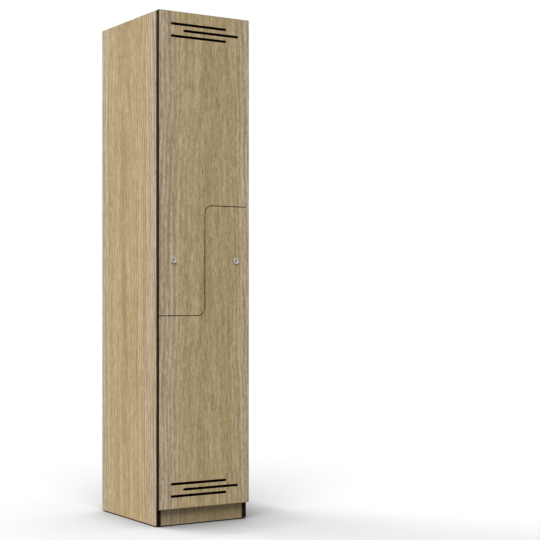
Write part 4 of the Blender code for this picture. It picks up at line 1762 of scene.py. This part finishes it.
@dataclass
class StrikePlate(DoorPart):
    """The angle that the turned cam catches behind, with its two screws."""

    arris: float = 0.0003
    thickness: float = 0.002
    screw_back: float = 0.017
    screw_reach: float = 0.0068
    screw: CrossScrew = CrossScrew(0.0032, 0.0010, 0.0007)

    def build(self) -> None:
        """Builds the strike."""
        node = f"{self.leaf.value}_strike"
        self.workshop.refined(node, f"{self.leaf.value}_pressed_strike", STEEL, CARCASS, self.arris)
        box = box_of(node)
        way = self.leaf.hung.value
        x = box.face_x(-way) + way * self.thickness
        y = box.low.y + self.screw_back
        seats = [((x, y, box.middle.z + side * self.screw_reach), (way, 0, 0)) for side in (-1, 1)]
        self.workshop.screw_heads(f"{node}_screws", CARCASS, seats, self.screw)


@dataclass
class CoatHook(DoorPart):
    """A wall hook: a rounded plate, a bent rod with a ball end, and two screws."""

    rod_radius: float = 0.0035
    rod_steps: int = 20
    bend_steps: int = 10
    ball_radius: float = 0.0042
    ball_steps: int = 24
    reach: float = 0.034
    drop: float = 0.014
    rise: float = 0.010
    plate_thickness: float = 0.003
    plate_corner: float = 0.007
    plate_corner_steps: int = 8
    plate_arris: float = 0.0006
    plate_arris_steps: int = 3
    collar_steps: int = 24
    collar_shares: Pair = (1.15, 1.6)
    collar_rise: float = 0.0016
    collar_edge: float = 0.0004
    collar_sunk: float = 0.0005
    screw_inset: float = 0.0085
    screw: CrossScrew = CrossScrew(0.0036, 0.0011, 0.0008)

    def build(self) -> None:
        """Builds the hook."""
        node = f"{self.leaf.value}_coat_hook"
        box = box_of(node)
        x, z = box.middle.x, box.middle.z
        front = box.high.y - self.plate_thickness
        plate = Shape().block((box.low.x, front, box.low.z), box.high)
        corners = plate.deep_edges(self.plate_thickness / 2)
        plate.round_edges(corners, self.plate_corner, self.plate_corner_steps)
        plate.ease(self.plate_arris, self.plate_arris_steps)
        plate.join(self.rod(Vector((x, box.high.y - self.plate_thickness / 2, z))))
        plate.join(self.collar().move(facing((x, front, z), FORWARD)))
        self.workshop.piece(f"{node}_body", plate, NICKEL, CARCASS, (node,))
        heights = (box.low.z + self.screw_inset, box.high.z - self.screw_inset)
        seats = [((x, front, height), FORWARD) for height in heights]
        self.workshop.screw_heads(f"{node}_screws", CARCASS, seats, self.screw)

    def collar(self) -> Shape:
        """Makes the low collar where the rod leaves the plate.

        Returns:
            The collar, its underside below Z 0 and its top up.
        """
        narrow, wide = (self.rod_radius * share for share in self.collar_shares)
        profile = [
            (0, self.collar_rise), (narrow, self.collar_rise), (wide, self.collar_edge),
            (wide, -self.collar_sunk), (0, -self.collar_sunk),
        ]
        return Shape().turned(profile, self.collar_steps)

    def stations(self, root: Vector) -> list[tuple[Vector, Vector]]:
        """The places that the rod passes and the way it heads at each.

        Args:
            root: Where the rod starts, inside the plate.

        Returns:
            Each place with its heading.
        """
        bend = self.reach / 2
        start = root + self.plate_thickness * Vector(FORWARD)
        centre = root + Vector((0, -bend, bend - self.drop))
        slope = (centre + bend * Vector(DOWN) - start).normalized()
        passed = [(start, slope)]
        for index in range(self.bend_steps + 1):
            angle = -QUARTER_TURN * (1 + index / self.bend_steps)
            point = centre + bend * Vector((0, math.cos(angle), math.sin(angle)))
            passed.append((point, Vector((0, math.sin(angle), -math.cos(angle)))))
        passed[1] = (passed[1][0], (slope + Vector(FORWARD)).normalized())
        passed.append((root + Vector((0, -self.reach, self.rise - self.ball_radius)), Vector(UP)))
        return passed

    def rod(self, root: Vector) -> Shape:
        """The rod, swept forward, round the bend and up to its ball.

        Args:
            root: Where the rod starts, inside the plate.

        Returns:
            The rod.
        """
        made = Shape()
        mesh = made.mesh
        bmesh.ops.create_circle(mesh, cap_ends=True, segments=self.rod_steps, radius=self.rod_radius)
        made.move(standing(root))
        edges = list(mesh.edges)
        at, heading = root, Vector(FORWARD)
        for point, direction in self.stations(root):
            geometry = bmesh.ops.extrude_edge_only(mesh, edges=edges)["geom"]
            edges = only(geometry, bmesh.types.BMEdge)
            turn = heading.rotation_difference(direction).to_matrix().to_4x4()
            shift = Matrix.Translation(point) @ turn @ Matrix.Translation(-at)
            bmesh.ops.transform(mesh, matrix=shift, verts=only(geometry, bmesh.types.BMVert))
            at, heading = point, direction
        bmesh.ops.holes_fill(mesh, edges=edges)
        made.clean()
        ball = Shape()
        bmesh.ops.create_uvsphere(
            ball.mesh, u_segments=self.ball_steps, v_segments=self.ball_steps // 2, radius=self.ball_radius
        )
        return made.join(ball.move(Matrix.Translation(at)))


@dataclass(frozen=True)
class Lamp:
    """A broad, far lamp, which lights every part of the object alike. Its spread is in degrees."""

    name: str
    towards: Triple
    power: float
    spread: float
    distance: float = 4.0

    def build(self) -> None:
        """Hangs the lamp and points it back at the object."""
        light = bpy.data.lights.new(self.name, "SUN")
        light.energy = self.power
        light.angle = math.radians(self.spread)
        made = bpy.data.objects.new(self.name, light)
        made.location = Vector(self.towards).normalized() * self.distance
        made.rotation_euler = Vector(self.towards).to_track_quat("Z", "Y").to_euler()
        bpy.context.scene.collection.objects.link(made)


@dataclass(frozen=True)
class FloorShadow:
    """A soft darkening of the floor round the locker's foot, or to one side of it.

    The floor looks up, or another way, as far as the reach, and finds a share of its view open. Between the
    two open shares it goes from the darkest white share to full white.
    """

    reach: float
    open_shares: Pair
    white_share: float
    towards: Triple = UP
    samples: int = 16

    def build(self, desk: NodeDesk) -> Socket:
        """Works out how white this shadow leaves the floor.

        Args:
            desk: The desk of the floor's material.

        Returns:
            The share of white.
        """
        towards = desk.add("ShaderNodeCombineXYZ")
        for socket, number in zip(towards.inputs, self.towards):
            desk.feed(socket, number)
        view = desk.add("ShaderNodeAmbientOcclusion", samples=self.samples)
        desk.fill(view, Distance=self.reach, Normal=towards.outputs[0])
        return desk.remap(view.outputs["AO"], self.open_shares, (self.white_share, 1.0))


@dataclass
class Studio:
    """A pale floor, a white surround, soft lamps, and the camera.

    The lens and the sensor are in millimetres, the yaw in degrees.
    """

    lens: float = 87.41
    sensor: float = 36.0
    shift_shares: Pair = (0.1103, 0.0533)
    camera_at: Triple = (-2.44114, -4.32142, 0.81784)
    yaw: float = -31.036
    sky: float = 0.33
    floor_size: float = 60.0
    floor_tone: Colour = (0.30, 0.30, 0.30, 1.0)
    floor_roughness: float = 0.9
    floor_catch: Triple = (0.476, 0.480, 0.487)
    floor_glow: float = 0.27
    shadows: tuple[FloorShadow, ...] = (
        FloorShadow(0.020, (0.30, 0.68), 0.02),
        FloorShadow(0.18, (0.30, 0.90), 0.66),
        FloorShadow(0.75, (0.40, 1.00), 0.66),
        FloorShadow(0.27, (0.72, 1.00), 0.80, (-0.82, 0.52, 0.10)),
    )
    lamps: tuple[Lamp, ...] = (
        Lamp("high_soft_lamp", (-0.31, -0.46, 0.832), 3.15, 40.0),
        Lamp("back_soft_lamp", (-0.47, 0.76, 0.44), 2.30, 30.0),
        Lamp("right_fill_lamp", (0.85, 0.42, 0.18), 1.15, 70.0),
    )

    def build(self) -> None:
        """Builds the whole studio."""
        self.build_camera()
        self.build_world()
        self.build_floor()
        for lamp in self.lamps:
            lamp.build()

    def build_camera(self) -> None:
        """Places the camera at the photograph's angle."""
        data = bpy.data.cameras.new("camera")
        data.sensor_width = self.sensor
        data.lens = self.lens
        data.shift_x, data.shift_y = self.shift_shares
        made = bpy.data.objects.new("camera", data)
        made.location = self.camera_at
        made.rotation_euler = (QUARTER_TURN, 0, math.radians(self.yaw))
        bpy.context.scene.collection.objects.link(made)
        bpy.context.scene.camera = made

    def part_rays(self, desk: NodeDesk, lighting: Socket, shown: Socket, output: bpy.types.Node) -> None:
        """Lights the object by one shader, and shows another to the camera and in reflections.

        Args:
            desk: The desk of the world or the material.
            lighting: The shader that lights the object.
            shown: The shader that is seen.
            output: The output node.
        """
        paths = desk.add("ShaderNodeLightPath").outputs
        seen = desk.math("MAXIMUM", paths["Is Camera Ray"], paths["Is Transmission Ray"])
        seen = desk.math("MAXIMUM", seen, paths["Is Glossy Ray"])
        mix = desk.add("ShaderNodeMixShader")
        for socket, value in zip(mix.inputs, (seen, lighting, shown)):
            desk.feed(socket, value)
        desk.fill(output, Surface=mix.outputs[0])

    def build_world(self) -> None:
        """Lights the object softly all round, and shows white behind it."""
        world = bpy.data.worlds.new("studio_world")
        world.use_nodes = True
        bpy.context.scene.world = world
        desk = NodeDesk(world.node_tree)
        soft = desk.find("BACKGROUND")
        desk.fill(soft, Color=WHITE, Strength=self.sky)
        white = desk.add("ShaderNodeBackground")
        desk.fill(white, Color=WHITE, Strength=1.0)
        self.part_rays(desk, soft.outputs[0], white.outputs[0], desk.find("OUTPUT_WORLD"))

    def shadow(self, desk: NodeDesk) -> Socket:
        """Multiplies the shadows: nearly black under the locker's edge, and softly grey round its foot.

        Args:
            desk: The desk of the floor's material.

        Returns:
            The share of white.
        """
        white = 1.0
        for shadow in self.shadows:
            white = desk.times(shadow.build(desk), white)
        return white

    def build_floor(self) -> None:
        """Lays the pale floor, which shows white where it is open and keeps the locker's shadow."""
        shape = Shape()
        bmesh.ops.create_grid(shape.mesh, x_segments=1, y_segments=1, size=self.floor_size)
        data = shape.release("studio_floor")
        made, desk, shader = open_material("pale_floor")
        desk.fill(
            shader, Base_Color=self.floor_tone, Roughness=self.floor_roughness, Specular_IOR_Level=0.0
        )
        shadow = self.shadow(desk)
        catch = desk.add("ShaderNodeBsdfDiffuse")
        desk.fill(catch, Color=desk.scale(self.floor_catch, shadow))
        glow = desk.add("ShaderNodeEmission")
        desk.fill(glow, Strength=desk.times(shadow, self.floor_glow))
        both = desk.add("ShaderNodeAddShader")
        desk.feed(both.inputs[0], catch.outputs[0])
        desk.feed(both.inputs[1], glow.outputs[0])
        self.part_rays(desk, shader.outputs[0], both.outputs[0], desk.find("OUTPUT_MATERIAL"))
        data.materials.append(made)
        floor = bpy.data.objects.new("studio_floor", data)
        bpy.context.scene.collection.objects.link(floor)


def main() -> None:
    """Loads the frame, builds the studio and every piece of the locker."""
    logging.basicConfig(level=logging.INFO, format="%(name)s: %(message)s")
    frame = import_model()
    bpy.context.scene.view_settings.view_transform = "Standard"
    Studio().build()
    workshop = Workshop(frame["nodes"])
    Carcass(workshop).build()
    for leaf in Leaf:
        Door(workshop, leaf).build()
        CamLock(workshop, leaf).build()
        for place in ("low", "high"):
            CupHinge(workshop, leaf, place).build()
        StrikePlate(workshop, leaf).build()
        CoatHook(workshop, leaf).build()


if __name__ == "__main__":
    main()
